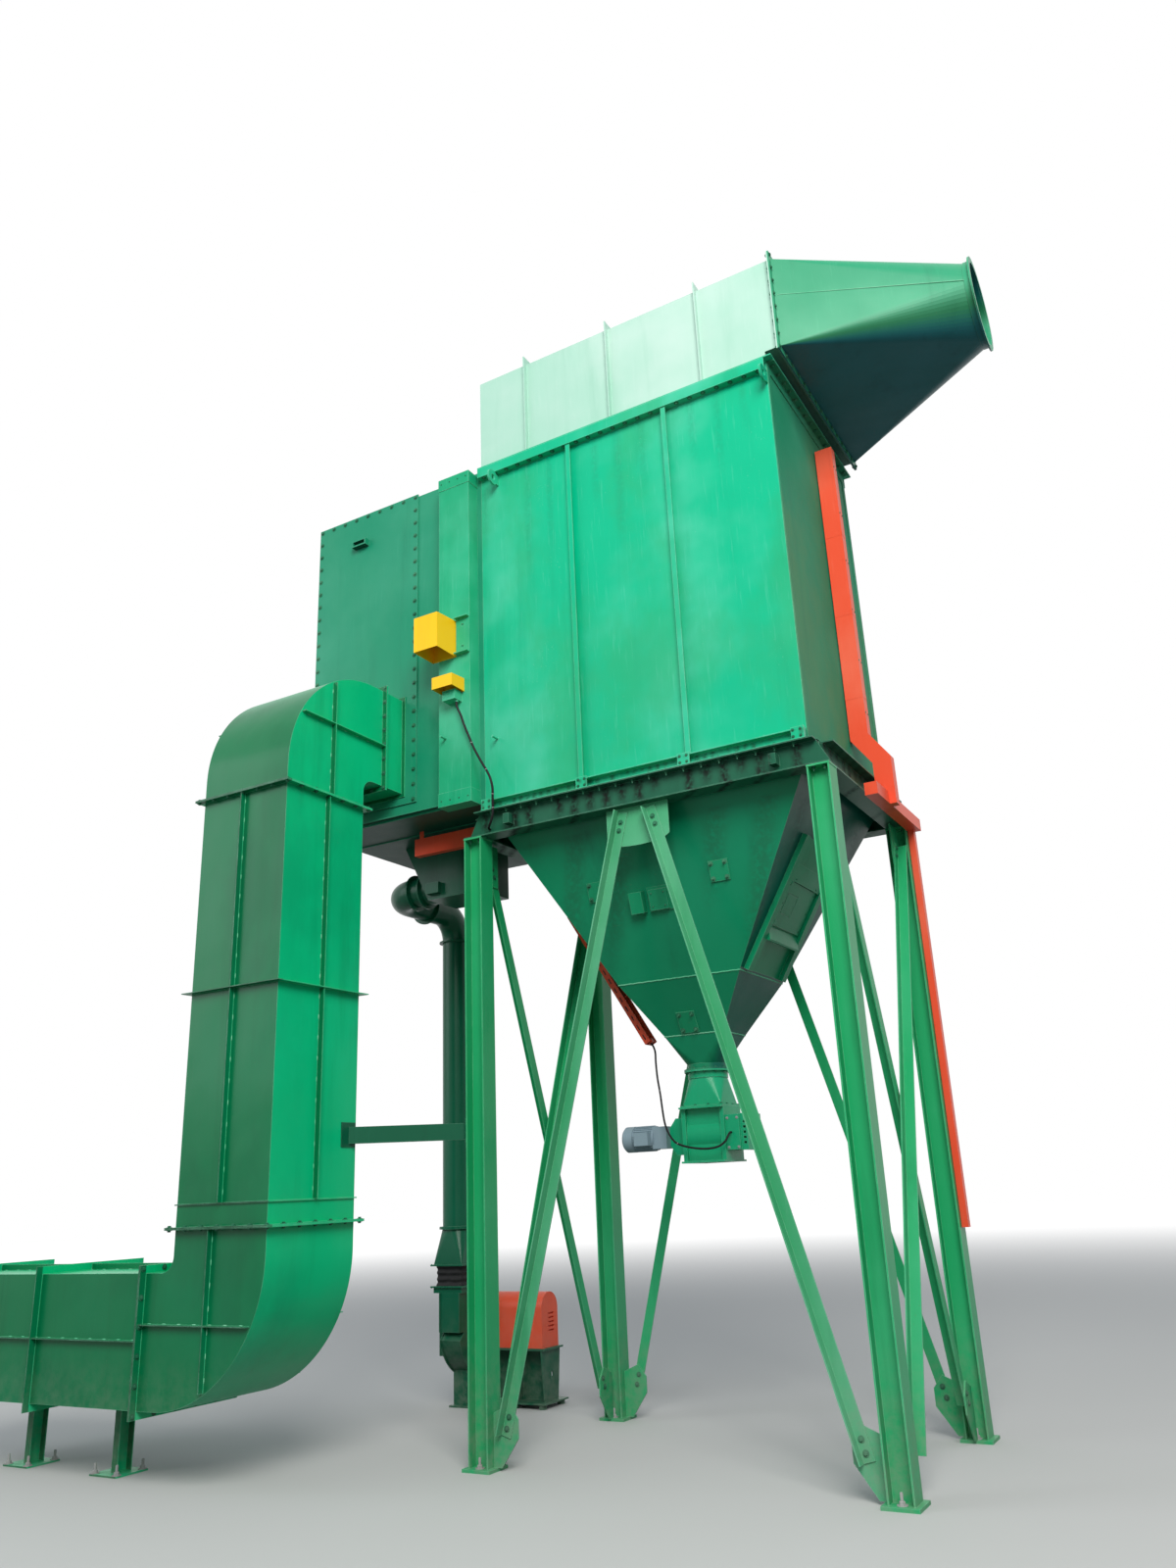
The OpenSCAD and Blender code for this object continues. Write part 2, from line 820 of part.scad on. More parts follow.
module gear_motor() {
  mid = valve_z + 185;
  in_frame() color(motor_grey)
    translate([-160 - gap - web_reach, 0, mid]) {
      translate([-110, -70, -75])
        cube([110, 140, 150]);
      // motor, its cowl and its domed end
      rotate([0, -90, 0]) {
        translate([0, 0, 100])
          cylinder(h = 240, d = 165);
        translate([0, 0, 270])
          cylinder(h = 70, d = 178);
        translate([0, 0, 340])
          cylinder(h = 14, d1 = 178, d2 = 150);
        translate([0, 0, 354])
          cylinder(h = 8, d1 = 150, d2 = 90);
      }
      // terminal box
      translate([-230, -130, -50])
        cube([110, 75, 90]);
    }
}

duct_x = chamber_duct_x();
duct_y = -hy - duct_gap - duct_w / 2;
bend_z = frame_top + 70;
turn_z = duct_z + duct_w / 2 + throat_r;
turn_x = duct_x - duct_w / 2 - throat_r;
duct_t = 5;
bar = 40;
tail_l = 150;

// square tube along +Z, centred on the axis
module square_tube(h) {
  difference() {
    translate([-duct_w / 2, -duct_w / 2, 0])
      cube([duct_w, duct_w, h]);
    translate([-duct_w / 2 + duct_t, -duct_w / 2 + duct_t, -1])
      cube([duct_w - 2 * duct_t, duct_w - 2 * duct_t, h + 2]);
  }
}

// flat ring round the square duct
module square_ring(z, t, proud) {
  difference() {
    translate([-duct_w / 2 - proud, -duct_w / 2 - proud, z])
      cube([duct_w + 2 * proud, duct_w + 2 * proud, t]);
    translate([-duct_w / 2 + duct_t, -duct_w / 2 + duct_t, z - 1])
      cube([duct_w - 2 * duct_t, duct_w - 2 * duct_t, t + 2]);
  }
}

// quarter bend of the square duct about Z, with two flat bars on each cheek
// before and after are the straight lengths that the bars run on along, in_a and in_b their shift inwards
module square_bend(before, after, in_a, in_b) {
  mid = throat_r + duct_w / 2;
  a = mid - in_a;
  b = mid - in_b;
  reach = throat_r + duct_w - 6;
  rotate_extrude(angle = 90, $fn = 96)
    difference() {
      translate([throat_r, -duct_w / 2])
        square([duct_w, duct_w]);
      translate([throat_r + duct_t, -duct_w / 2 + duct_t])
        square([duct_w - 2 * duct_t, duct_w - 2 * duct_t]);
    }
  for (s = [-1, 1]) {
    face = s > 0 ? duct_w / 2 - 1 : -duct_w / 2 - bar;
    translate([a, -before, face])
      cube([6, before + sqrt(reach * reach - a * a) - 6, bar + 1]);
    translate([-after, b, face])
      cube([after + sqrt(reach * reach - b * b) - 6, 6, bar + 1]);
  }
}

module duct_top_elbow() {
  arc_y = duct_y + throat_r + duct_w / 2;
  out_l = -hy - 12 - gap - arc_y;
  joint = 0.3 * out_l;
  in_frame() color(duct_green) {
    translate([duct_x, arc_y, bend_z + neck_up])
      rotate([90, 0, -90])
        square_bend(neck_up, joint, 40, 80);
    translate([duct_x, duct_y, bend_z]) {
      square_tube(neck_up);
      square_ring(0, 8, 50);
    }
    translate([duct_x, arc_y, elbow_out_z()])
      rotate([-90, 0, 0]) {
        square_tube(out_l);
        square_ring(joint, 16, 40);
        square_ring(out_l - 8, 8, 30);
      }
  }
}

// upright bars in the middle of the four faces of the duct
module face_bars(z0, z1) {
  for (a = [0:90:270])
    rotate([0, 0, a])
      translate([duct_w / 2, -3, z0])
        cube([bar, 6, z1 - z0]);
}

module duct_riser() {
  z0 = turn_z + neck_low + gap;
  z1 = bend_z - gap;
  ring_z = z0 + 0.52 * (z1 - z0);
  in_frame() color(duct_green)
    translate([duct_x, duct_y, 0]) {
      translate([0, 0, z0])
        square_tube(z1 - z0);
      square_ring(z1 - 8, 8, 50);
      square_ring(z0, 8, 50);
      square_ring(z0 + 140, 8, 12);
      square_ring(ring_z, 6, 50);
      face_bars(z0 + 148, ring_z);
      face_bars(ring_z + 6, z1 - 8);
    }
}

module duct_bottom_elbow() {
  end_x = turn_x - tail_l;
  in_frame() color(duct_green) {
    translate([turn_x, duct_y, turn_z])
      rotate([-90, 0, 0])
        square_bend(neck_low, tail_l, 70, 100);
    translate([duct_x, duct_y, turn_z]) {
      square_tube(neck_low);
      square_ring(neck_low - 8, 8, 50);
    }
    translate([end_x, duct_y, duct_z])
      rotate([0, 90, 0]) {
        square_tube(tail_l);
        square_ring(0, 8, 50);
      }
  }
}

// channel leg with foot and head plate under the lying duct
module duct_leg() {
  h = duct_z - duct_w / 2;
  translate([-130, -130, 0])
    cube([260, 260, 12]);
  translate([-3, -60, 11])
    cube([6, 120, h - 20]);
  for (y = [-60, 54])
    translate([-3, y, 11])
      cube([55, 6, h - 20]);
  translate([-40, -80, h - 10])
    cube([110, 160, 11]);
}

module duct_run() {
  end_x = turn_x - tail_l - gap;
  leg_at = 580;
  in_frame() color(duct_green) {
    difference() {
      translate([end_x, duct_y, duct_z])
        rotate([0, -90, 0]) {
          square_tube(run_l);
          square_ring(0, 8, 50);
          square_ring(run_l - 8, 8, 50);
          square_ring(run_l / 2 - 3, 6, 50);
          face_bars(8, run_l / 2 - 3);
          face_bars(run_l / 2 + 3, run_l - 8);
        }
      for (x = [leg_at, run_l - leg_at])
        translate([end_x - x - 60, duct_y - 100, duct_z - duct_w / 2 - bar - 1])
          cube([150, 200, bar + 1]);
    }
    for (x = [leg_at, run_l - leg_at])
      translate([end_x - x, duct_y, 0])
        duct_leg();
  }
}

pipe_t = 4;
pipe_z = 1390;
sleeve_z = 935;
sleeve_h = 155;
sleeve_w = 290;

// flat square frame above or below the flexible sleeve
module sleeve_frame(t) {
  difference() {
    translate([-sleeve_w / 2 - 20, -sleeve_w / 2 - 20, 0])
      cube([sleeve_w + 40, sleeve_w + 40, t]);
    translate([-sleeve_w / 2 + 6, -sleeve_w / 2 + 6, -1])
      cube([sleeve_w - 12, sleeve_w - 12, t + 2]);
  }
}

leg_z = col_h - 40;
bend_r = 250;
header_y = 10;
header_x = -hx - 1225;

// round pipe along +Z
module round_pipe(h) {
  difference() {
    cylinder(h = h, d = pipe_d);
    translate([0, 0, -1])
      cylinder(h = h + 2, d = pipe_d - 2 * pipe_t);
  }
}

module pipe_ring(z, t) {
  translate([0, 0, z])
    difference() {
      cylinder(h = t, d = pipe_d + 60);
      translate([0, 0, -1])
        cylinder(h = t + 2, d = pipe_d - 2 * pipe_t);
    }
}

module pipe_bend() {
  rotate_extrude(angle = 90, $fn = 96)
    translate([bend_r, 0])
      difference() {
        circle(d = pipe_d, $fn = 48);
        circle(d = pipe_d - 2 * pipe_t, $fn = 48);
      }
}

module purge_pipe() {
  back = header_y + bend_r;
  stub = header_x - gap;
  in_frame() color(duct_green) {
    translate([-fan_x, fan_y, pipe_z]) {
      round_pipe(leg_z - bend_r - pipe_z);
      pipe_ring(-12, 22);
      translate([0, 0, sleeve_z + sleeve_h + 2 - pipe_z])
        rotate([0, -90, 0])
          square_to_round(pipe_z - sleeve_z - sleeve_h - 10, sleeve_w, sleeve_w, pipe_d / 2 + 3, pipe_t, 48);
      pipe_ring(leg_z - bend_r - pipe_z - 12, 12);
    }
    translate([-fan_x, fan_y, sleeve_z + sleeve_h + gap])
      sleeve_frame(12);
    translate([-fan_x, fan_y - bend_r, leg_z - bend_r])
      rotate([90, 0, 90])
        pipe_bend();
    translate([-fan_x, back, leg_z])
      rotate([-90, 0, 0]) {
        round_pipe(fan_y - bend_r - back);
        pipe_ring((fan_y - bend_r - back) / 2 - 6, 12);
      }
    translate([-fan_x + bend_r, back, leg_z])
      rotate([0, 0, 180])
        pipe_bend();
    translate([-fan_x + bend_r, header_y, leg_z])
      rotate([0, 90, 0]) {
        round_pipe(stub + fan_x - bend_r);
        pipe_ring(0, 12);
        pipe_ring(stub + fan_x - bend_r - 8, 8);
      }
  }
}

// shallow box under the chamber with one sloping side
module purge_header() {
  top = frame_top + chamber_z - gap;
  low = leg_z - pipe_d / 2 - 15;
  left = header_x - 80;
  right = header_x + 700;
  slant = 240;
  wall = 6;
  in_frame() color(duct_green) {
    difference() {
      union() {
        translate([0, header_y + 200, 0])
          rotate([90, 0, 0])
            linear_extrude(400)
              polygon([[left, top], [left + slant, low], [right, low], [right, top]]);
        translate([header_x, header_y, leg_z])
          rotate([0, 90, 0])
            cylinder(h = 170, d = pipe_d);
        translate([header_x, header_y, leg_z])
          rotate([0, 90, 0])
            cylinder(h = 8, d = pipe_d + 60);
      }
      translate([0, header_y + 200 - wall, 0])
        rotate([90, 0, 0])
          linear_extrude(400 - 2 * wall)
            polygon([[left + 15, top - wall], [left + slant + 8, low + wall], [right - wall, low + wall],
              [right - wall, top - wall]]);
      translate([header_x - 1, header_y, leg_z])
        rotate([0, 90, 0])
          cylinder(h = 190, d = pipe_d - 2 * pipe_t);
    }
    translate([left + slant + 10, header_y - 250, low + 40])
      cube([130, 50, 90]);
  }
}

scroll_y = fan_y + 270;
scroll_z = 590;

// side outline of the fan casing, a growing spiral with the outlet upwards
module scroll_outline(grow) {
  polygon([for (i = [0:48])
    let (a = 100 - i * 5.625, r = 270 + i * 3 + grow)
      [r * cos(a), r * sin(a)]]);
  translate([-414 - grow, -10])
    square([288 + grow, 300]);
}

module purge_fan() {
  in_frame() color(duct_green) {
    // casing and its two rims
    translate([-fan_x + 125, scroll_y, scroll_z])
      rotate([90, 0, -90])
        mirror([1, 0, 0])
          linear_extrude(200)
            scroll_outline(0);
    for (x = [-fan_x - 79, -fan_x + 121])
      translate([x + 4, scroll_y, scroll_z])
        rotate([90, 0, -90])
          mirror([1, 0, 0])
            linear_extrude(6)
              scroll_outline(12);
    // inlet box and foot
    translate([-fan_x - 200, scroll_y - 260, 380])
      cube([124, 420, 400]);
    for (y = [scroll_y - 230, scroll_y + 170])
      translate([-fan_x - 75, y, 0])
        cube([200, 60, 330]);
    translate([-fan_x - 95, scroll_y - 270, 0])
      cube([265 - gap, 540, 15]);
    // bearing housing that the shaft runs through to the drive
    translate([-fan_x + 124, scroll_y, scroll_z])
      rotate([0, 90, 0])
        cylinder(h = 36 - gap, d = 120);
    // outlet frame under the flexible sleeve
    translate([-fan_x, fan_y, sleeve_z - 12 - gap])
      sleeve_frame(12);
    translate([-fan_x - sleeve_w / 2, fan_y - sleeve_w / 2, 880])
      cube([sleeve_w, sleeve_w, sleeve_z - 880 - 5]);
  }
}

module flexible_sleeve() {
  in_frame() color([0.04, 0.04, 0.045])
    translate([-fan_x, fan_y, sleeve_z])
      difference() {
        translate([-sleeve_w / 2, -sleeve_w / 2, 0])
          cube([sleeve_w, sleeve_w, sleeve_h]);
        translate([-sleeve_w / 2 + 6, -sleeve_w / 2 + 6, -1])
          cube([sleeve_w - 12, sleeve_w - 12, sleeve_h + 2]);
      }
}

// arched cover over the belt drive and motor
module drive_cover() {
  x0 = -fan_x + 160;
  in_frame() color(orange)
    difference() {
      union() {
        translate([x0, scroll_y - 125, 440])
          cube([580, 250, 300]);
        translate([x0, scroll_y, 735])
          rotate([0, 90, 0])
            cylinder(h = 580, d = 250);
      }
      for (i = [0:4])
        translate([x0 + 560, scroll_y - 25, 560 + i * 32])
          cube([30, 90, 12]);
    }
}

module fan_pedestal() {
  x0 = -fan_x + 170;
  mount_h = 34;
  in_frame() color(duct_green) {
    translate([x0, scroll_y - 150, 425])
      cube([600, 300, 15 - gap]);
    translate([x0, scroll_y - 180, mount_h])
      cube([620, 360, 12]);
    for (x = [x0 + 50, x0 + 310, x0 + 570], y = [-140, 140])
      translate([x, scroll_y + y, 0])
        cylinder(h = mount_h + 1, d = 64);
    for (x = [x0 + 20, x0 + 290, x0 + 560])
      translate([x, scroll_y, mount_h + 11])
        rotate([90, 0, 90])
          linear_extrude(10)
            difference() {
              polygon([[-105, 0], [105, 0], [145, 415 - mount_h], [-145, 415 - mount_h]]);
              translate([0, 190])
                circle(d = 60);
            }
    translate([x0 + 20, scroll_y - 5, mount_h + 11])
      cube([550, 10, 415 - mount_h]);
  }
}

// channel strut from the riser to the front left column
module pipe_strut() {
  x0 = duct_x + duct_w / 2 + gap;
  x1 = -cx - col_w / 2 - gap;
  y0 = duct_y + duct_w / 2 - 80;
  y1 = -cy - 20;
  a = atan2(y1 - y0, x1 - x0);
  run = sqrt((x1 - x0) * (x1 - x0) + (y1 - y0) * (y1 - y0));
  in_frame() color(duct_green) {
    translate([x0, y0 - 70, 1990])
      cube([8, 140, 160]);
    translate([x1 - 8, y1 - 55, 1990])
      cube([8, 110, 160]);
    translate([x0, y0, 2010])
      rotate([0, 0, a])
        translate([8, -4, 0]) {
          cube([run - 16, 8, 110]);
          for (z = [0, 102])
            translate([40, 0, z])
              cube([run - 90, 48, 8]);
        }
  }
}

// formed sheet covers over the cables, fixed to wall, beam, column and hopper
module cable_tray() {
  wall = hx + 8 + gap;
  side = cx + col_w / 2 + 3 + gap;
  tray_y = 90;
  tray_w = 80;
  deep = 135;
  in_frame() color(orange) {
    // down the right wall and out past the beam
    translate([0, tray_y + tray_w, 0])
      rotate([90, 0, 0])
        linear_extrude(tray_w)
          polygon([[wall, house_top - 220], [wall + deep, house_top - 220], [wall + deep, frame_top + 330],
            [side + deep, frame_top + 130], [side + deep, frame_top - 225], [side, frame_top - 225],
            [side, frame_top + 100], [wall, frame_top + 300]]);
    difference() {
      translate([side - 3, -200, frame_top - 225])
        cube([90, cy + 240, 90]);
      translate([side - 4, tray_y, frame_top - 226])
        cube([92, tray_w, 92]);
    }
    translate([side, cy - 30, 1300])
      cube([45, 60, frame_top - 225 - 1300]);
    // under the chamber, hung from two straps
    translate([-hx - 950, -520, frame_top - 90])
      cube([hx + 950 - cx - col_w / 2 - 1, 60, 140]);
    for (x = [-hx - 900, -hx - 300])
      translate([x, -520, frame_top + 50])
        cube([40, 6, chamber_z - 50 - gap]);
    // beside the left slope of the hopper, on two brackets
    on_left_slope() {
      translate([-190, -55, -340])
        difference() {
          cube([50, 110, 1210]);
          translate([4, 4, -1])
            cube([47, 102, 1212]);
        }
      for (z = [60, 640])
        translate([-188, -20, z])
          cube([188 - gap, 40, 6]);
      // clip at the lower end that holds the cable
      translate([-187, -18, -340])
        cube([47, 36, 24]);
    }
  }
}

cable_black = [0.03, 0.03, 0.035];

// hand chosen points of the two free cables
instrument_route = [[-1418, -1045, 5244.7], [-1417, -1045, 5215], [-1404, -1044, 5180], [-1378, -1042, 5120],
  [-1350, -1040, 5037], [-1312, -1035, 4940], [-1273, -1031, 4843], [-1232, -1028, 4760], [-1194, -1025, 4690],
  [-1160, -1022, 4630], [-1132, -1018, 4565], [-1121, -1008, 4492], [-1132, -992, 4421], [-1140, -978, 4360],
  [-1148, -971, 4310], [-1168, -959, 4264], [-1200, -938, 4234], [-1224, -914, 4221], [-1232, -883.3, 4218]];
valve_route = [[-436.5, 0, 2643.3], [-418, 0, 2612], [-405, -5, 2570], [-398, -20, 2500], [-380, -45, 2390],
  [-350, -75, 2270], [-322, -110, 2150], [-292, -145, 2060], [-250, -177, 1990], [-190, -201, 1930],
  [-100, -214, 1897], [0, -217, 1880], [75, -217, 1878], [140, -214, 1890], [182, -205, 1920],
  [198, -187, 1955], [200, -162, 1974], [200, -130.3, 1978]];

function unit(v) = v / norm(v);

// smooth curve through the points, two steps between each pair
function smooth(p) = concat([for (i = [0:len(p) - 2], t = [0, 0.5])
  let (a = p[max(i - 1, 0)], b = p[i], c = p[i + 1], d = p[min(i + 2, len(p) - 1)])
    b + t / 2 * ((c - a) + t * ((2 * a - 5 * b + 4 * c - d) + t * (3 * b - a - 3 * c + d)))],
  [p[len(p) - 1]]);

// directions square to the curve, each turned as little as can be from the one before
function side_ways(t, n, i) = i == len(t) ? [] :
  let (m = unit(n - t[i] * (n * t[i]))) concat([m], side_ways(t, m, i + 1));

// round cable through the points, its ends square to the given directions
module cable(points, d, first, last, beside) {
  sides = 10;
  p = smooth(points);
  n = len(p);
  t = [for (i = [0:n - 1]) i == 0 ? unit(first) : i == n - 1 ? unit(last) : unit(p[i + 1] - p[i - 1])];
  f = side_ways(t, beside, 0);
  ring_points = [for (i = [0:n - 1], k = [0:sides - 1])
    p[i] + d / 2 * (cos(k * 360 / sides) * f[i] + sin(k * 360 / sides) * cross(t[i], f[i]))];
  skin_faces = [for (i = [0:n - 2], k = [0:sides - 1])
    let (a = i * sides + k, b = i * sides + (k + 1) % sides)
      each [[a, a + sides, b + sides], [a, b + sides, b]]];
  start_face = [for (k = [0:sides - 1]) k];
  end_face = [for (k = [sides - 1:-1:0]) (n - 1) * sides + k];
  polyhedron(points = ring_points, faces = concat(skin_faces, [start_face, end_face]));
}

// black cable from the instrument box down to the web of the front beam
module instrument_cable() {
  in_frame() color(cable_black)
    cable(instrument_route, 18, [0, 0, -1], [0, 1, 0], [1, 0, 0]);
}

// black cable from the end of the sloping tray round the valve to the chain guard
module valve_cable() {
  in_frame() color(cable_black)
    cable(valve_route, 14, [0.514, 0, -0.858], [0, 1, 0], [0, 1, 0]);
}

column_front_left();
column_front_right();
column_back_left();
column_back_right();
front_beam();
back_beam();
left_beam();
right_beam();
front_bracing();
back_bracing();
left_bracing();
right_bracing();
housing_front_wall();
housing_back_wall();
housing_right_wall();
housing_left_wall();
housing_roof();
lifting_lugs();
inlet_hood();
inlet_transition();
inlet_flange();
clean_air_chamber();
chamber_front_panel();
cable_trunk();
rain_canopies();
hopper_upper();
hopper_lower();
hopper_access_cover();
hopper_hand_plates();
outlet_transition();
valve_body();
valve_rotor();
chain_guard();
gear_motor();
duct_top_elbow();
duct_riser();
duct_bottom_elbow();
duct_run();
purge_header();
purge_pipe();
flexible_sleeve();
purge_fan();
drive_cover();
fan_pedestal();
pipe_strut();
cable_tray();
instrument_cable();
valve_cable();
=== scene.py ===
import math

import bpy
import numpy as np
from mathutils import Matrix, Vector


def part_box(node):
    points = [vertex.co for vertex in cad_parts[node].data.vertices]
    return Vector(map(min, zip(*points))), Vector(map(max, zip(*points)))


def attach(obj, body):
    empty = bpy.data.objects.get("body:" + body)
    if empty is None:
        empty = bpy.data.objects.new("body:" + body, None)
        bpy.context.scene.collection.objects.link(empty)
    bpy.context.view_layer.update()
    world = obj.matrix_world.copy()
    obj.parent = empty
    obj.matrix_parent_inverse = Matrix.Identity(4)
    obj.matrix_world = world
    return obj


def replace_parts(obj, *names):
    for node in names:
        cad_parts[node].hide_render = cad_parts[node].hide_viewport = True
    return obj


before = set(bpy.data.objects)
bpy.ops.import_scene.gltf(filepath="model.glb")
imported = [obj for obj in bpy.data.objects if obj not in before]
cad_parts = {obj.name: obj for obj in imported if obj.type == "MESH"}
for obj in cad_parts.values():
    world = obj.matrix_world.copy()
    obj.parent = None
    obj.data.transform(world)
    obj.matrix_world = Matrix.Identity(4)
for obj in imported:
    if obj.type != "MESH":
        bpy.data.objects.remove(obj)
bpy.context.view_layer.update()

# Looks for the box bag filter. Metres, Z up, origin under the front left column.
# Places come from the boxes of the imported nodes.


def corners(node):
    """Lowest and highest corner of a node as arrays."""
    low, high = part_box(node)
    return np.array(low), np.array(high)


def middle(title):
    """Middle of a node's box."""
    low, high = corners(title)
    return (low + high) / 2


# The front left column stands on the origin, so the frame's middle is half way to the back right column.
MID_X, MID_Y = middle("column_back_right")[:2] / 2
WALL_FRONT, WALL_BACK = (corner[1] for corner in corners("housing_right_wall"))
WALL_RIGHT = corners("housing_right_wall")[0][0]
WALL_LEFT = corners("housing_left_wall")[0][0]
FRAME_TOP, HOUSE_TOP = (corner[2] for corner in corners("housing_left_wall"))
WALLS = ((WALL_FRONT, -1), (WALL_BACK, 1))
COLUMNS = ["column_" + place for place in ("front_left", "front_right", "back_left", "back_right")]
# Pieces that are bolted together stand a gap apart, and the half width of a column counts with that gap.
GAP = 0.0003
COLUMN_HALF = 0.075 + GAP
RIGHT, BACK, UP = (1.0, 0.0, 0.0), (0.0, 1.0, 0.0), (0.0, 0.0, 1.0)
LEFT, FRONT, DOWN = (-1.0, 0.0, 0.0), (0.0, -1.0, 0.0), (0.0, 0.0, -1.0)
SIGNS = [(a, b) for a in (-1, 1) for b in (-1, 1)]


# camera and lamps

PHOTO_HEIGHT, FOCAL_PIXELS, SENSOR = 1600.0, 1187.0, 36.0
PHOTO_PLACE = (4.822, -6.895, 1.65)
TURN, LIFT, ROLL = (math.radians(angle) for angle in (29.219, 19.198, -2.521))


def linked(name, data):
    """New object of the scene from its data."""
    thing = bpy.data.objects.new(name, data)
    bpy.context.collection.objects.link(thing)
    return thing


def posed(thing, side, up, back, place):
    """Moves a thing to a place, with its own X, Y and Z along side, up and back."""
    pose = np.eye(4)
    pose[:3, 0], pose[:3, 1], pose[:3, 2], pose[:3, 3] = side, up, back, place
    thing.matrix_world = Matrix(pose.tolist())


def set_camera():
    """Camera at the photograph's place and angle, with its focal length."""
    ahead = np.array([-math.sin(TURN) * math.cos(LIFT), math.cos(TURN) * math.cos(LIFT), math.sin(LIFT)])
    level = np.array([math.cos(TURN), math.sin(TURN), 0.0])
    above = np.cross(level, ahead)
    right = math.cos(ROLL) * level + math.sin(ROLL) * above
    up = -math.sin(ROLL) * level + math.cos(ROLL) * above
    data = bpy.data.cameras.new("view")
    data.sensor_width = SENSOR
    data.lens = FOCAL_PIXELS / PHOTO_HEIGHT * SENSOR
    data.clip_end = 200.0
    camera = linked("view", data)
    posed(camera, right, up, -ahead, PHOTO_PLACE)
    bpy.context.scene.camera = camera


set_camera()


LAMP_AIM, LAMP_SIZE = (0.5, 0.5, 4.0), 9.0


def lamp(name, place, power, tint):
    """Square soft lamp at a place, turned towards the frame's upper part."""
    data = bpy.data.lights.new(name, "AREA")
    data.shape = "SQUARE"
    data.size = LAMP_SIZE
    data.energy = power
    data.color = tint
    back = np.array(place) - np.array(LAMP_AIM)
    back /= np.linalg.norm(back)
    side = np.cross(UP, back)
    side /= np.linalg.norm(side)
    posed(linked(name, data), side, np.cross(back, side), back, place)


# shader building

def filled(tree, made, links):
    """A node with its inputs linked or set. links are (input, socket or value)."""
    for entry, value in links:
        if isinstance(value, bpy.types.NodeSocket):
            tree.links.new(value, made.inputs[entry])
        else:
            made.inputs[entry].default_value = value
    return made


def node(tree, kind, links=(), **settings):
    """One shader node. settings are the node's own properties."""
    made = tree.nodes.new(kind)
    for key, value in settings.items():
        setattr(made, key, value)
    return filled(tree, made, links)


def maths(tree, operation, *values):
    """Result of one Math node."""
    return node(tree, "ShaderNodeMath", enumerate(values), operation=operation).outputs[0]


def times(tree, a, b):
    """Product of two values."""
    return maths(tree, "MULTIPLY", a, b)


def plus(tree, a, b):
    """Sum of two values."""
    return maths(tree, "ADD", a, b)


def face_normal(tree):
    """The way a face looks."""
    return node(tree, "ShaderNodeNewGeometry").outputs["Normal"]


def turned_to(tree, direction):
    """How far the face turns to a direction: the dot product of its normal and the direction."""
    links = [(0, face_normal(tree)), (1, direction)]
    return node(tree, "ShaderNodeVectorMath", links, operation="DOT_PRODUCT").outputs["Value"]


def own_place(tree):
    """The object's own place, in metres."""
    return node(tree, "ShaderNodeTexCoord").outputs["Object"]


def axes(tree, vector):
    """The three parts of a vector by name."""
    return node(tree, "ShaderNodeSeparateXYZ", [(0, vector)]).outputs


def blended(tree, share, a, b, kind="MIX"):
    """Colour mixed from a to b by a share."""
    made = node(tree, "ShaderNodeMix", [(0, share), (6, a), (7, b)], data_type="RGBA", blend_type=kind)
    return made.outputs[2]


def ramped(tree, value, low, high, start=0.0, end=1.0):
    """Value carried smoothly from start to end while it goes from low to high."""
    links = [("Value", value), ("From Min", low), ("From Max", high), ("To Min", start), ("To Max", end)]
    return node(tree, "ShaderNodeMapRange", links, interpolation_type="SMOOTHSTEP").outputs[0]


def noisy(tree, place, scale, detail=3.0, rough=0.55):
    """Noise between 0 and 1 over a place, with one scale or with one for each axis."""
    if isinstance(scale, tuple):
        place = node(tree, "ShaderNodeMapping", [("Vector", place), ("Scale", scale)]).outputs[0]
        scale = 1.0
    links = [("Vector", place), ("Scale", scale), ("Detail", detail), ("Roughness", rough)]
    return node(tree, "ShaderNodeTexNoise", links).outputs[0]


def new_group(name, inputs, outputs=(("Float", "Mask"),)):
    """Empty node group. Its sockets are given as pairs of a type and the names that have it."""
    tree = bpy.data.node_groups.new(name, "ShaderNodeTree")
    for way, pairs in (("INPUT", inputs), ("OUTPUT", outputs)):
        for kind, titles in pairs:
            for title in titles.split():
                tree.interface.new_socket(title, in_out=way, socket_type="NodeSocket" + kind)
    return tree, node(tree, "NodeGroupInput").outputs, node(tree, "NodeGroupOutput")


def closed(tree, end, **results):
    """The group with its results linked to its outputs by name."""
    filled(tree, end, results.items())
    return tree


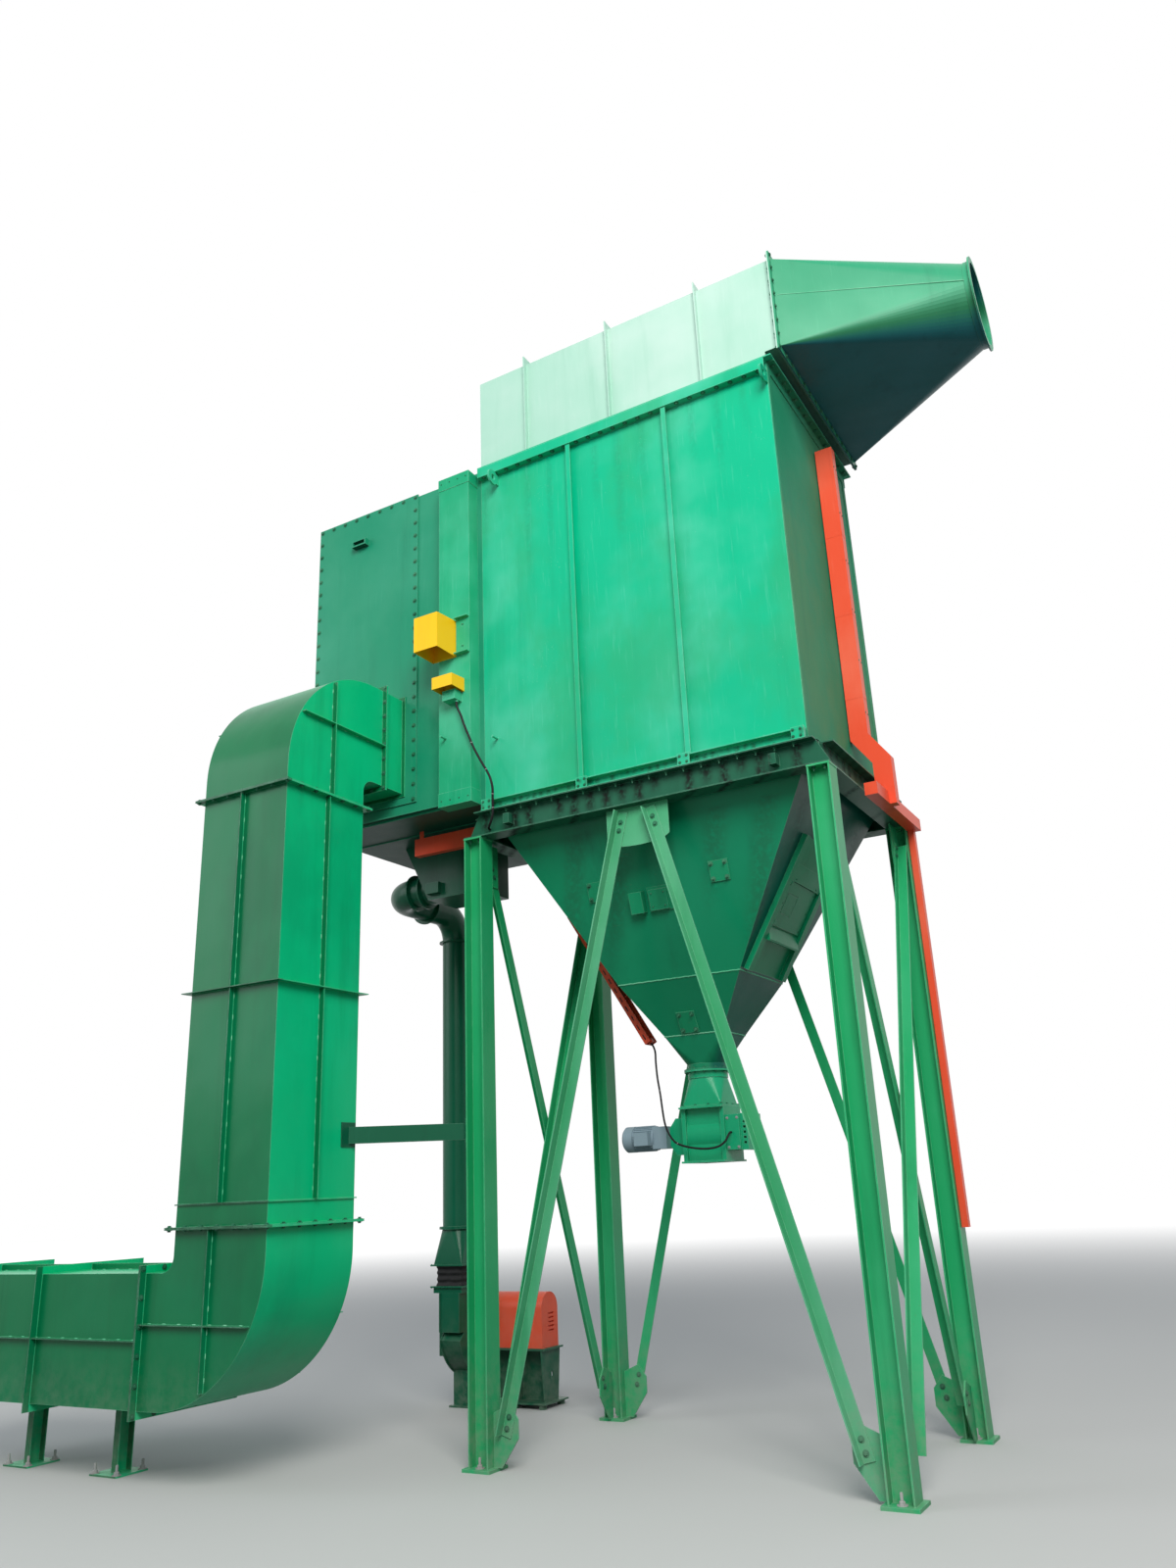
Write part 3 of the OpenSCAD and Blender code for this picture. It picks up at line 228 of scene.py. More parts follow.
def enamel_film():
    """Sprayed enamel: slow pale patches and stain clouds, partly faded paint and stains and partly painted reflection
    of sky and surroundings, hanging streaks, roller marks, orange peel and a wavy sheet.
    """
    inputs = [("Color", "Paint Bleached Deep Stain"), ("Float", "Bleach Stained Gloss Wave")]
    tree, given, end = new_group("enamel_film", inputs, [("Color", "Color"), ("Float", "Roughness Height")])
    place = own_place(tree)
    patch = noisy(tree, place, 0.7, 4.0)
    hang = noisy(tree, place, (5.0, 5.0, 0.45), 4.0, 0.6)
    roller = noisy(tree, place, (38.0, 38.0, 3.0), 3.0, 0.65)
    speck = noisy(tree, place, 28.0, 5.0, 0.7)
    # Pale patches: partly bleached paint, partly painted reflection of the sky and clouds.
    share = times(tree, ramped(tree, patch, 0.42, 0.72), given["Bleach"])
    tone = blended(tree, share, given["Paint"], given["Bleached"])
    # Slow clouds of the stain tone: partly real stains, partly painted reflection of the surroundings.
    cloud = noisy(tree, place, (0.8, 0.8, 0.5), 5.0, 0.62)
    share = times(tree, ramped(tree, cloud, 0.46, 0.66), given["Stained"])
    tone = blended(tree, share, tone, given["Stain"])
    dark = times(tree, ramped(tree, hang, 0.52, 0.8), 0.45)
    tone = blended(tree, dark, tone, given["Deep"])
    pale = times(tree, ramped(tree, roller, 0.55, 0.85), times(tree, given["Bleach"], 0.5))
    tone = blended(tree, pale, tone, given["Bleached"])
    tone = blended(tree, times(tree, ramped(tree, speck, 0.62, 0.75), 0.12), tone, given["Deep"])
    rough = plus(tree, given["Gloss"], times(tree, roller, 0.1))
    rough = plus(tree, rough, times(tree, patch, 0.12))
    wave = times(tree, noisy(tree, place, 1.6, 2.0, 0.4), times(tree, given["Wave"], 0.02))
    peel = times(tree, noisy(tree, place, 260.0, 1.0), 0.00012)
    brush = times(tree, roller, 0.0005)
    height = plus(tree, wave, plus(tree, peel, brush))
    return closed(tree, end, Color=tone, Roughness=rough, Height=height)


def grime_and_shade_runs():
    """Dark runs that start at a level and fall a length below it, narrow across and long down: grime streaks, and
    with a whole spread a band of painted shade under a lip.
    """
    tree, given, end = new_group("grime_and_shade_runs", [("Float", "Level Length Pitch Spread")])
    place = own_place(tree)
    parts = axes(tree, place)
    fall = maths(tree, "DIVIDE", maths(tree, "SUBTRACT", given["Level"], parts["Z"]), given["Length"])
    wander = times(tree, maths(tree, "SUBTRACT", noisy(tree, place, 7.0, 2.0), 0.5), 0.03)
    across = plus(tree, plus(tree, parts["X"], parts["Y"]), wander)
    cell = maths(tree, "DIVIDE", across, given["Pitch"])
    off = maths(tree, "ABSOLUTE", maths(tree, "SUBTRACT", maths(tree, "FRACT", cell), 0.5))
    number = maths(tree, "FLOOR", cell)
    which = node(tree, "ShaderNodeTexWhiteNoise", [("W", number)], noise_dimensions="1D").outputs[0]
    narrow = ramped(tree, off, times(tree, given["Spread"], 0.5), 0.02)
    reach = maths(tree, "SUBTRACT", plus(tree, which, 0.15), fall)
    tail = ramped(tree, reach, 0.0, 0.5)
    below = ramped(tree, fall, -0.01, 0.02)
    mask = times(tree, times(tree, narrow, tail), below)
    mask = times(tree, mask, ramped(tree, noisy(tree, place, 30.0, 3.0), 0.25, 0.6))
    return closed(tree, end, Mask=mask)


def settled_dust():
    """Pale dust on what faces up, and a thin film that thickens towards the floor."""
    tree, given, end = new_group("settled_dust", [("Float", "Amount Foot")])
    place = own_place(tree)
    upward, height = axes(tree, face_normal(tree))["Z"], axes(tree, place)["Z"]
    broken = ramped(tree, noisy(tree, place, 11.0, 5.0, 0.65), 0.3, 0.7)
    top = times(tree, ramped(tree, upward, 0.5, 0.95), given["Amount"])
    foot = times(tree, ramped(tree, height, 0.9, 0.0), given["Foot"])
    mask = times(tree, maths(tree, "MAXIMUM", top, foot), broken)
    return closed(tree, end, Mask=mask)


def painted_side_shade():
    """How far a face turns to a given direction, from 0 to 1: the mask of painted shade on the faces that look that
    way.
    """
    tree, given, end = new_group("painted_side_shade", [("Vector", "Towards"), ("Float", "From To")])
    return closed(tree, end, Mask=ramped(tree, turned_to(tree, given["Towards"]), given["From"], given["To"]))


def paint_chips():
    """Small chips and scratches where the film is broken."""
    tree, given, end = new_group("paint_chips", [("Float", "Amount")])
    place = own_place(tree)
    field = ramped(tree, noisy(tree, place, 2.3, 2.0), 0.5, 0.75)
    dots = ramped(tree, noisy(tree, place, 85.0, 2.0, 0.4), 0.72, 0.76)
    scratch = noisy(tree, place, (4.0, 4.0, 90.0), 2.0, 0.4)
    lines = ramped(tree, scratch, 0.755, 0.775)
    mask = times(tree, maths(tree, "MAXIMUM", dots, times(tree, lines, 0.6)), field)
    return closed(tree, end, Mask=times(tree, mask, given["Amount"]))


def edge_wear_and_highlight():
    """Paler edges and weld roots, partly thin chalky film and partly a painted highlight along the edges: how far a
    rounded normal leaves the true one.
    """
    tree, given, end = new_group("edge_wear_and_highlight", [("Float", "Width")])
    rounded = node(tree, "ShaderNodeBevel", [("Radius", given["Width"])], samples=4).outputs[0]
    same = turned_to(tree, rounded)
    place = own_place(tree)
    broken = ramped(tree, noisy(tree, place, 9.0, 4.0, 0.6), 0.3, 0.65, 0.35, 1.0)
    return closed(tree, end, Mask=times(tree, ramped(tree, same, 0.995, 0.80), broken))


FILM, RUNS, DUST, SIDE = enamel_film(), grime_and_shade_runs(), settled_dust(), painted_side_shade()
CHIPS, EDGE = paint_chips(), edge_wear_and_highlight()


def placed(tree, group, **values):
    """A group's node in a material with its own values."""
    return node(tree, "ShaderNodeGroup", values.items(), node_tree=group).outputs


def new_material(name):
    """Material with its nodes and its Principled shader."""
    material = bpy.data.materials.new(name)
    material.use_nodes = True
    return material, material.node_tree, material.node_tree.nodes["Principled BSDF"]


def rgba(colour):
    """Colour with full cover."""
    return (*colour, 1.0)


EDGE_WIDTH, EDGE_CHALK_AND_HIGHLIGHT, CHALK_AND_HIGHLIGHT_SHARE = 0.007, (0.34, 0.62, 0.46), 0.65
DUST_TONE = (0.30, 0.28, 0.24)


def enamelled(name, paint, bleached_and_reflected, deep, gloss=0.3, bleach=0.4, wave=1.0, coat=0.05, runs=(), sides=(), proud=None,
              stain=(0.1, 0.2, 0.05), stained=0.0, dust=0.22, foot=0.5, chips=0.5, edge=0.0,
              grime_and_shade=(0.014, 0.018, 0.012), bare=(0.16, 0.11, 0.07), nodes=()):
    """Enamel on steel, on the nodes named. runs lists (level, length, pitch, spread, strength): dark runs of grime,
    and with a whole spread a band of painted shade. sides lists (direction, from, to, share, tone): painted shade on
    the
    faces that turn to a direction. proud is (y, tone): what stands in front of that y is dimmed by the tone, as
    painted shade. The film's pale patches and stain clouds are partly painted reflection, and the pale edges partly a
    painted highlight.
    """
    material, tree, shader = new_material(name)
    film = placed(tree, FILM, Paint=rgba(paint), Bleached=rgba(bleached_and_reflected), Deep=rgba(deep), Bleach=bleach,
                  Gloss=gloss, Wave=wave, Stain=rgba(stain), Stained=stained)
    tone, rough = film["Color"], film["Roughness"]
    # Painted shade: faces that turn to a direction are darkened by a tone.
    for towards, start, full, share, shade in sides:
        mask = placed(tree, SIDE, Towards=towards, From=start, To=full)["Mask"]
        tone = blended(tree, times(tree, mask, share), tone, rgba(shade), "MULTIPLY")
    # Painted shade: what stands proud in front of the given y, the duct's bars and rings, is dimmed by the tone.
    if proud:
        level, shade = proud
        ahead = ramped(tree, axes(tree, own_place(tree))["Y"], level, level - 0.002)
        tone = blended(tree, ahead, tone, rgba(shade), "MULTIPLY")
    # Dark runs: grime streaks, and where a run has a whole spread, a band of painted shade.
    for level, length, pitch, spread, strength in runs:
        mask = placed(tree, RUNS, Level=level, Length=length, Pitch=pitch, Spread=spread)["Mask"]
        share = times(tree, mask, strength)
        tone = blended(tree, share, tone, rgba(grime_and_shade))
        rough = plus(tree, rough, times(tree, share, 0.3))
    # Pale edges: partly worn chalky film, partly a painted highlight along the edges.
    if edge:
        share = times(tree, placed(tree, EDGE, Width=EDGE_WIDTH)["Mask"], edge)
        chalk_and_highlight = tuple((1 - CHALK_AND_HIGHLIGHT_SHARE) * c + CHALK_AND_HIGHLIGHT_SHARE * b for c, b in zip(bleached_and_reflected, EDGE_CHALK_AND_HIGHLIGHT))
        tone = blended(tree, share, tone, rgba(chalk_and_highlight))
    settled = placed(tree, DUST, Amount=dust, Foot=foot)["Mask"]
    tone = blended(tree, times(tree, settled, 0.55), tone, rgba(DUST_TONE))
    rough = plus(tree, rough, times(tree, settled, 0.45))
    broken = placed(tree, CHIPS, Amount=chips)["Mask"]
    tone = blended(tree, broken, tone, rgba(bare))
    relief = maths(tree, "SUBTRACT", film["Height"], times(tree, broken, 0.0002))
    bump = node(tree, "ShaderNodeBump", [("Height", relief), ("Distance", 1.0), ("Strength", 1.0)])
    filled(tree, shader, [("Base Color", tone), ("Roughness", rough), ("Normal", bump.outputs[0]),
                          ("Specular IOR Level", 0.18), ("Coat Weight", coat), ("Coat Roughness", 0.12)])
    for title in nodes:
        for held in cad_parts[title].material_slots:
            held.material = material
    return material


# shapes

class Form:
    """Points and faces as arrays: corners of all faces in one row, and how many each face has."""

    def __init__(self, points, loops, counts):
        self.points = np.asarray(points, float).reshape(-1, 3)
        self.loops = np.asarray(loops, int).ravel()
        self.counts = np.asarray(counts, int).ravel()


def gathered(forms):
    """Several forms as one."""
    starts = np.cumsum([0] + [len(f.points) for f in forms[:-1]])
    return Form(np.concatenate([f.points for f in forms]),
                np.concatenate([f.loops + s for f, s in zip(forms, starts)]),
                np.concatenate([f.counts for f in forms]))


def repeated(form, places, turns):
    """The same form at many places, each with its own turning matrix, worked out in one product."""
    places, turns = np.asarray(places, float).reshape(-1, 3), np.asarray(turns, float).reshape(-1, 3, 3)
    turns = np.broadcast_to(turns, (len(places), 3, 3))
    points = np.einsum("kij,nj->kni", turns, form.points) + places[:, None, :]
    shift = np.arange(len(places))[:, None] * len(form.points)
    return Form(points, form.loops[None, :] + shift, np.tile(form.counts, len(places)))


def round_grid(rows, columns, ring=False):
    """Corner numbers of the four sided faces round a tube of rows by columns points, with its ends tied if a ring."""
    r, c = np.meshgrid(np.arange(rows if ring else rows - 1), np.arange(columns), indexing="ij")
    r2, c2 = (r + 1) % rows, (c + 1) % columns
    return np.stack([r * columns + c, r * columns + c2, r2 * columns + c2, r2 * columns + c], -1).reshape(-1, 4)


def closed_tube(points):
    """Form from rows of points round a tube, with both ends closed flat."""
    rows, columns = points.shape[:2]
    faces = round_grid(rows, columns)
    base, top = np.arange(columns)[::-1], (rows - 1) * columns + np.arange(columns)
    return Form(points, np.concatenate([faces.ravel(), base, top]), [4] * len(faces) + [columns, columns])


def turned(profile, sides, phase=0.0):
    """Profile of (radius, height) carried round Z: x = r cos a, y = r sin a, z = h. Ends are closed flat."""
    profile = np.asarray(profile, float)
    angle = phase + np.arange(sides) * 2 * math.pi / sides
    x = profile[:, :1] * np.cos(angle)
    y = profile[:, :1] * np.sin(angle)
    z = np.repeat(profile[:, 1:], sides, 1)
    return closed_tube(np.stack([x, y, z], -1))


def carried(path, section, guide=None, first=None, last=None):
    """A closed section carried along a path: each point is path + u side + v over, square to the path."""
    path, section = np.asarray(path, float), np.asarray(section, float)
    ahead = np.gradient(path, axis=0)
    for row, direction in ((0, first), (-1, last)):
        if direction is not None:
            ahead[row] = direction
    ahead /= np.linalg.norm(ahead, axis=1, keepdims=True)
    if guide is None:
        mean = path[-1] - path[0]
        guide = UP if abs(mean[2]) < 0.8 * np.linalg.norm(mean) else BACK
    side = np.cross(guide, ahead)
    side /= np.linalg.norm(side, axis=1, keepdims=True)
    over = np.cross(ahead, side)
    return closed_tube(path[:, None] + section[None, :, :1] * side[:, None] + section[None, :, 1:] * over[:, None])


def round_section(radius, sides):
    """Circle in the section plane, anticlockwise."""
    a = np.arange(sides) * 2 * math.pi / sides
    return np.stack([radius * np.cos(a), radius * np.sin(a)], -1)


def facing(normal):
    """Matrix that turns Z to a direction."""
    n = np.asarray(normal, float) / np.linalg.norm(normal)
    x = np.cross(UP if abs(n[2]) < 0.9 else RIGHT, n)
    x /= np.linalg.norm(x)
    return np.stack([x, np.cross(n, x), n], -1)


def along(start, end, pitch, inset=0.0):
    """Evenly spaced points on a line, about a pitch apart, kept an inset from both ends."""
    start, end = np.asarray(start, float), np.asarray(end, float)
    length = np.linalg.norm(end - start)
    start, end = start + (end - start) * inset / length, end - (end - start) * inset / length
    count = max(2, int(round((length - 2 * inset) / pitch)) + 1)
    return start + (end - start) * np.linspace(0, 1, count)[:, None]


def round_row(centre, radius, count, axis):
    """Points on a circle square to an axis, the first half a step from its start."""
    turn = facing(axis)
    a = (np.arange(count) + 0.5) * 2 * math.pi / count
    flat = np.stack([radius * np.cos(a), radius * np.sin(a), a * 0], -1)
    return flat @ turn.T + np.asarray(centre, float)


def piece(name, form, material, smooth=30.0):
    """Makes a form into an object at the origin that rides on the part."""
    mesh = bpy.data.meshes.new(name)
    mesh.vertices.add(len(form.points))
    mesh.vertices.foreach_set("co", form.points.ravel())
    mesh.loops.add(len(form.loops))
    mesh.loops.foreach_set("vertex_index", form.loops)
    mesh.polygons.add(len(form.counts))
    mesh.polygons.foreach_set("loop_start", np.cumsum(form.counts) - form.counts)
    mesh.update(calc_edges=True)
    mesh.validate()
    mesh.polygons.foreach_set("use_smooth", np.ones(len(mesh.polygons), bool))
    mesh.set_sharp_from_angle(angle=math.radians(smooth))
    mesh.materials.append(material)
    thing = linked(name, mesh)
    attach(thing, "root")
    return thing


def hex_bolt(across, head, shank=0.0):
    """Six sided head with a bevelled top on a round washer, standing on Z = 0, with a thread end above if asked."""
    base, r = across * 0.14, across / math.sqrt(3)
    parts = [turned([(across * 1.02, 0.0), (across * 1.02, base)], 12),
             turned([(r, base), (r, base + head * 0.8), (r * 0.84, base + head)], 6, math.pi / 6)]
    if shank:
        parts.append(turned([(across * 0.3, base + head * 0.9), (across * 0.3, base + head + shank),
                             (across * 0.22, base + head + shank * 1.15)], 8))
    return gathered(parts)


def rim_row(centre, across, up, half_across, half_up, pitch):
    """Points about a pitch apart on the rim of a rectangle that lies square to across and up."""
    spots = [(a * half_across, b * half_up, 0) for a, b in ((-1, -1), (1, -1), (1, 1), (-1, 1))]
    flat = np.concatenate([along(a, b, pitch)[:-1] for a, b in zip(spots, spots[1:] + spots[:1])])
    return np.asarray(centre, float) + flat[:, :1] * np.asarray(across, float) + flat[:, 1:2] * np.asarray(up, float)


def block(low, high):
    """Closed box between two corners."""
    low, high = np.asarray(low, float), np.asarray(high, float)
    pick = np.array([(i, j, k) for k in (0, 1) for j in (0, 1) for i in (0, 1)])
    faces = [[0, 2, 3, 1], [4, 5, 7, 6], [0, 1, 5, 4], [2, 6, 7, 3], [0, 4, 6, 2], [1, 3, 7, 5]]
    return Form(low + pick * (high - low), faces, [4] * 6)


# finishes

# Housing walls: the second run is painted shade, a dark band under the bottom lip. The pale patches and olive stain
# clouds are partly painted reflection of sky and surroundings.
enamelled("housing_green", (0.001, 0.43, 0.225), (0.16, 0.6, 0.45), (0.001, 0.3, 0.15), gloss=0.22, dust=0.09,
          bleach=0.5, wave=1.5, stain=(0.02, 0.36, 0.16), stained=0.7, edge=0.7, chips=0.35, bare=(0.45, 0.62, 0.5),
          runs=[(HOUSE_TOP - 0.09, 1.1, 0.21, 0.5, 0.12), (FRAME_TOP + 0.074, 0.09, 0.06, 1.0, 0.6)],
          nodes=["housing_front_wall", "housing_back_wall", "housing_left_wall", "housing_roof", "lifting_lugs"])
# The housing's right wall: the same paint as the other walls, made darker as painted shade, with teal and olive
# patches as painted reflection.
enamelled("housing_green_shaded_side", (0.008, 0.2, 0.1), (0.05, 0.29, 0.17), (0.004, 0.12, 0.08), gloss=0.5, coat=0.0,
          edge=0.4, bleach=0.7, wave=1.4, stain=(0.07, 0.19, 0.08), stained=0.6, chips=0.3,
          nodes=["housing_right_wall"])
# Painted shade on the hood's faces that look down.
enamelled("hood_green", (0.36, 0.6, 0.49), (0.5, 0.66, 0.59), (0.25, 0.5, 0.38), gloss=0.32, bleach=0.8, wave=0.8,
          chips=0.2, edge=0.3, sides=[(DOWN, 0.2, 0.8, 0.95, (0.1, 0.22, 0.2))], nodes=["inlet_hood"])
# Painted shade on the frame's faces that look right.
enamelled("frame_green", (0.013, 0.35, 0.125), (0.07, 0.46, 0.23), (0.005, 0.17, 0.06), gloss=0.24, bleach=0.45,
          wave=0.25, foot=0.7, chips=0.7, edge=0.7, sides=[(RIGHT, 0.5, 0.9, 0.6, (0.45, 0.72, 0.7))],
          nodes=[*COLUMNS, "back_bracing", "left_bracing", "right_bracing"])
# A paler copy of the frame paint for the front bracing, as painted light where it stands in the light.
enamelled("brace_green_lit", (0.045, 0.33, 0.145), (0.14, 0.45, 0.27), (0.015, 0.2, 0.08), gloss=0.28, bleach=0.6,
          wave=0.2, foot=0.7, chips=0.7, edge=0.7, nodes=["front_bracing"])
enamelled("beam_green", (0.008, 0.095, 0.05), (0.04, 0.17, 0.105), (0.004, 0.055, 0.028), wave=0.25,
          runs=[(FRAME_TOP - 0.008, 0.3, 0.13, 0.95, 0.98)], chips=0.8, edge=0.5, grime_and_shade=(0.003, 0.006, 0.004),
          nodes=["front_beam", "back_beam", "left_beam", "right_beam"])
# A darker copy of the housing paint, as painted shade under the housing, with bluish painted shade on the faces that
# look right.
enamelled("hopper_green_shaded", (0.001, 0.2, 0.09), (0.01, 0.26, 0.135), (0.001, 0.08, 0.04), gloss=0.24, wave=0.8,
          runs=[(4.1, 1.2, 0.37, 0.8, 0.3)], stain=(0.001, 0.09, 0.05), stained=0.6, edge=0.4,
          sides=[(RIGHT, 0.3, 0.8, 0.8, (0.22, 0.38, 0.7))], nodes=["hopper_upper", "hopper_lower"])
# Painted shade on the faces that look down, deepening to a bluish dark on the underside.
enamelled("transition_green", (0.018, 0.27, 0.135), (0.1, 0.42, 0.25), (0.01, 0.18, 0.09), gloss=0.28, bleach=0.5,
          wave=0.8, edge=0.3,
          sides=[(DOWN, 0.0, 0.55, 0.9, (0.28, 0.4, 0.3)), (DOWN, 0.5, 0.95, 1.0, (0.6, 0.9, 2.4))],
          nodes=["inlet_transition", "inlet_flange"])
# Painted shade on the faces that look to the front, and more on the bars and rings standing proud of the front face.
enamelled("duct_green", (0.001, 0.46, 0.19), (0.008, 0.54, 0.27), (0.001, 0.26, 0.1), gloss=0.22,
          stain=(0.005, 0.2, 0.1), stained=0.35, chips=0.3, dust=0.03, edge=0.6,
          sides=[(FRONT, 0.2, 0.8, 0.92, (0.1, 0.265, 0.21))],
          proud=(corners("duct_riser")[0][1] + 0.047, (0.5, 0.36, 0.33)),
          nodes=["duct_top_elbow", "duct_riser", "duct_bottom_elbow", "duct_run"])
enamelled("pipe_green", (0.001, 0.085, 0.04), (0.008, 0.15, 0.085), (0.001, 0.04, 0.02), gloss=0.2, bleach=0.35,
          wave=0.3, dust=0.1, edge=0.3,
          nodes=["purge_header", "purge_pipe", "purge_fan", "fan_pedestal", "pipe_strut"])
# Painted shade on the chamber's faces that look down.
enamelled("chamber_green", (0.007, 0.235, 0.125), (0.045, 0.31, 0.19), (0.004, 0.15, 0.08), bleach=0.7, wave=0.9,
          stain=(0.03, 0.27, 0.15), stained=0.5, chips=0.35, dust=0.15, edge=0.4,
          sides=[(DOWN, 0.4, 0.9, 0.95, (0.22, 0.22, 0.24))], nodes=["clean_air_chamber", "chamber_front_panel"])
enamelled("cover_green", (0.002, 0.22, 0.095), (0.02, 0.32, 0.16), (0.001, 0.12, 0.05), wave=0.3, dust=0.08, edge=0.6,
          nodes=["hopper_access_cover", "hopper_hand_plates"])
enamelled("trunk_green", (0.003, 0.36, 0.17), (0.13, 0.55, 0.37), (0.002, 0.24, 0.11), gloss=0.25, bleach=0.6,
          wave=0.9, stain=(0.01, 0.27, 0.12), stained=0.6, chips=0.35, dust=0.06, edge=0.7, nodes=["cable_trunk"])
enamelled("valve_green", (0.004, 0.33, 0.15), (0.05, 0.47, 0.28), (0.002, 0.15, 0.06), gloss=0.2, bleach=0.5,
          wave=0.15, edge=0.5, nodes=["outlet_transition", "valve_body", "chain_guard"])
enamelled("canopy_yellow", (0.97, 0.52, 0.008), (0.98, 0.62, 0.03), (0.8, 0.36, 0.01), bleach=0.3, wave=0.2,
          dust=0.1, chips=0.15, nodes=["rain_canopies"])
ORANGE = enamelled("tray_orange", (0.78, 0.08, 0.032), (0.84, 0.2, 0.12), (0.36, 0.022, 0.012), gloss=0.28,
                   bleach=0.5, wave=0.3, nodes=["drive_cover", "cable_tray"])
MOTOR = enamelled("motor_grey", (0.22, 0.3, 0.35), (0.36, 0.43, 0.47), (0.06, 0.09, 0.11), gloss=0.34, wave=0.1,
                  nodes=["gear_motor"])
enamelled("rotor_steel", (0.35, 0.35, 0.36), (0.5, 0.5, 0.5), (0.2, 0.18, 0.16), gloss=0.35, wave=0.1, coat=0.0,
          nodes=["valve_rotor"])
SLEEVE = enamelled("sleeve_black", (0.012, 0.012, 0.013), (0.04, 0.04, 0.04), (0.004, 0.004, 0.004), gloss=0.55,
                   wave=0.6, coat=0.0, nodes=["flexible_sleeve"])
CABLE = enamelled("cable_black", (0.01, 0.01, 0.011), (0.03, 0.03, 0.03), (0.004, 0.004, 0.004), gloss=0.42,
                  wave=0.0, coat=0.0, chips=0.1, nodes=["instrument_cable", "valve_cable"])
FASTENER = enamelled("fastener_green", (0.01, 0.12, 0.06), (0.1, 0.3, 0.18), (0.01, 0.03, 0.02), gloss=0.4,
                     bleach=0.6, wave=0.0, chips=1.0)
# Welds paler than the paint around them: partly their own pale paint, partly painted highlight of beads that catch
# light.
WELD = enamelled("weld_green", (0.1, 0.46, 0.26), (0.3, 0.58, 0.42), (0.03, 0.26, 0.12), gloss=0.4, bleach=0.8,
                 wave=0.0, chips=0.6)
ZINC = enamelled("zinc_bolt", (0.3, 0.31, 0.31), (0.5, 0.5, 0.48), (0.16, 0.12, 0.08), gloss=0.35, bleach=0.5,
                 wave=0.0, coat=0.0, chips=0.8)


# cables

INSTRUMENT_ROUTE = [
    (-1.418, -1.045, 5.2447), (-1.417, -1.045, 5.215), (-1.404, -1.044, 5.18), (-1.378, -1.042, 5.12),
    (-1.35, -1.04, 5.037), (-1.312, -1.035, 4.94), (-1.273, -1.031, 4.843), (-1.232, -1.028, 4.76),
    (-1.194, -1.025, 4.69), (-1.16, -1.022, 4.63), (-1.132, -1.018, 4.565), (-1.121, -1.008, 4.492),
    (-1.132, -0.992, 4.421), (-1.14, -0.978, 4.36), (-1.148, -0.971, 4.31), (-1.168, -0.959, 4.264),
    (-1.2, -0.938, 4.234), (-1.224, -0.914, 4.221), (-1.232, -0.8833, 4.218)]
VALVE_ROUTE = [
    (-0.4365, 0.0, 2.6433), (-0.418, 0.0, 2.612), (-0.405, -0.005, 2.57), (-0.398, -0.02, 2.5),
    (-0.38, -0.045, 2.39), (-0.35, -0.075, 2.27), (-0.322, -0.11, 2.15), (-0.292, -0.145, 2.06),
    (-0.25, -0.177, 1.99), (-0.19, -0.201, 1.93), (-0.1, -0.214, 1.897), (0.0, -0.217, 1.88),
    (0.075, -0.217, 1.878), (0.14, -0.214, 1.89), (0.182, -0.205, 1.92), (0.198, -0.187, 1.955),
    (0.2, -0.162, 1.974), (0.2, -0.1303, 1.978)]


TIE_HALF = 0.0022


def smooth_route(route, steps):
    """Cubic through given points about the middle of the frame, each pair divided into steps."""
    p = np.asarray(route) + (MID_X, MID_Y, 0.0)
    before, after = np.vstack([p[:1], p[:-2]]), np.vstack([p[2:], p[-1:]])
    b, c = p[:-1], p[1:]
    t = (np.arange(steps) / steps)[None, :, None]
    a, b, c, d = before[:, None], b[:, None], c[:, None], after[:, None]
    curve = b + t / 2 * ((c - a) + t * ((2 * a - 5 * b + 4 * c - d) + t * (3 * b - a - 3 * c + d)))
    return np.vstack([curve.reshape(-1, 3), p[-1:]])


def free_cable(name, route, diameter, guide, first, last, ties):
    """Cable with zip ties that replaces its plain solid."""
    path = smooth_route(route, 5)
    form = carried(path, round_section(diameter / 2, 14), guide, first, last)
    tube = piece(name.replace("cable", "lead"), form, CABLE, 60)
    turns = np.stack([facing(way) for way in np.gradient(path, axis=0)[ties]])
    profile = [(diameter * share, TIE_HALF * end) for share, end in ((0.50, -1), (0.56, -1), (0.56, 1), (0.50, 1))]
    bands = piece(name + "_ties", repeated(turned(profile, 14), path[ties], turns), ZINC)
    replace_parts(tube, name)


# bolts and nuts

RISER_LOW, RISER_HIGH = corners("duct_riser")
RUN_LOW, RUN_HIGH = corners("duct_run")
DUCT_X, DUCT_Y = middle("duct_riser")[:2]
RING_PROUD = 0.050
DUCT_HALF = (RISER_HIGH[0] - RISER_LOW[0]) / 2 - RING_PROUD
RUN_Z = RUN_HIGH[2] - RING_PROUD - DUCT_HALF
# Both bends turn about a line that stands a throat away from the sheet, the top one above a straight neck.
BEND = 0.100 + DUCT_HALF
TOP_BEND_Y, TOP_BEND_Z = DUCT_Y + BEND, RISER_HIGH[2] + 0.146
OUTLET_SHARE = 0.3
# Pitch of the bolts on a flange, and for the housing's foot the pitch and the distance kept from both ends.
FLANGE_PITCH, WIDE_PITCH, DEEP_PITCH = 0.124, (0.13, 0.08), (0.14, 0.12)


def wide_row(y, z, pitch, inset):
    """Points along the width of the housing."""
    return along((WALL_LEFT, y, z), (WALL_RIGHT, y, z), pitch, inset)


def deep_row(x, z, pitch, inset):
    """Points along the depth of the housing."""
    return along((x, WALL_FRONT, z), (x, WALL_BACK, z), pitch, inset)


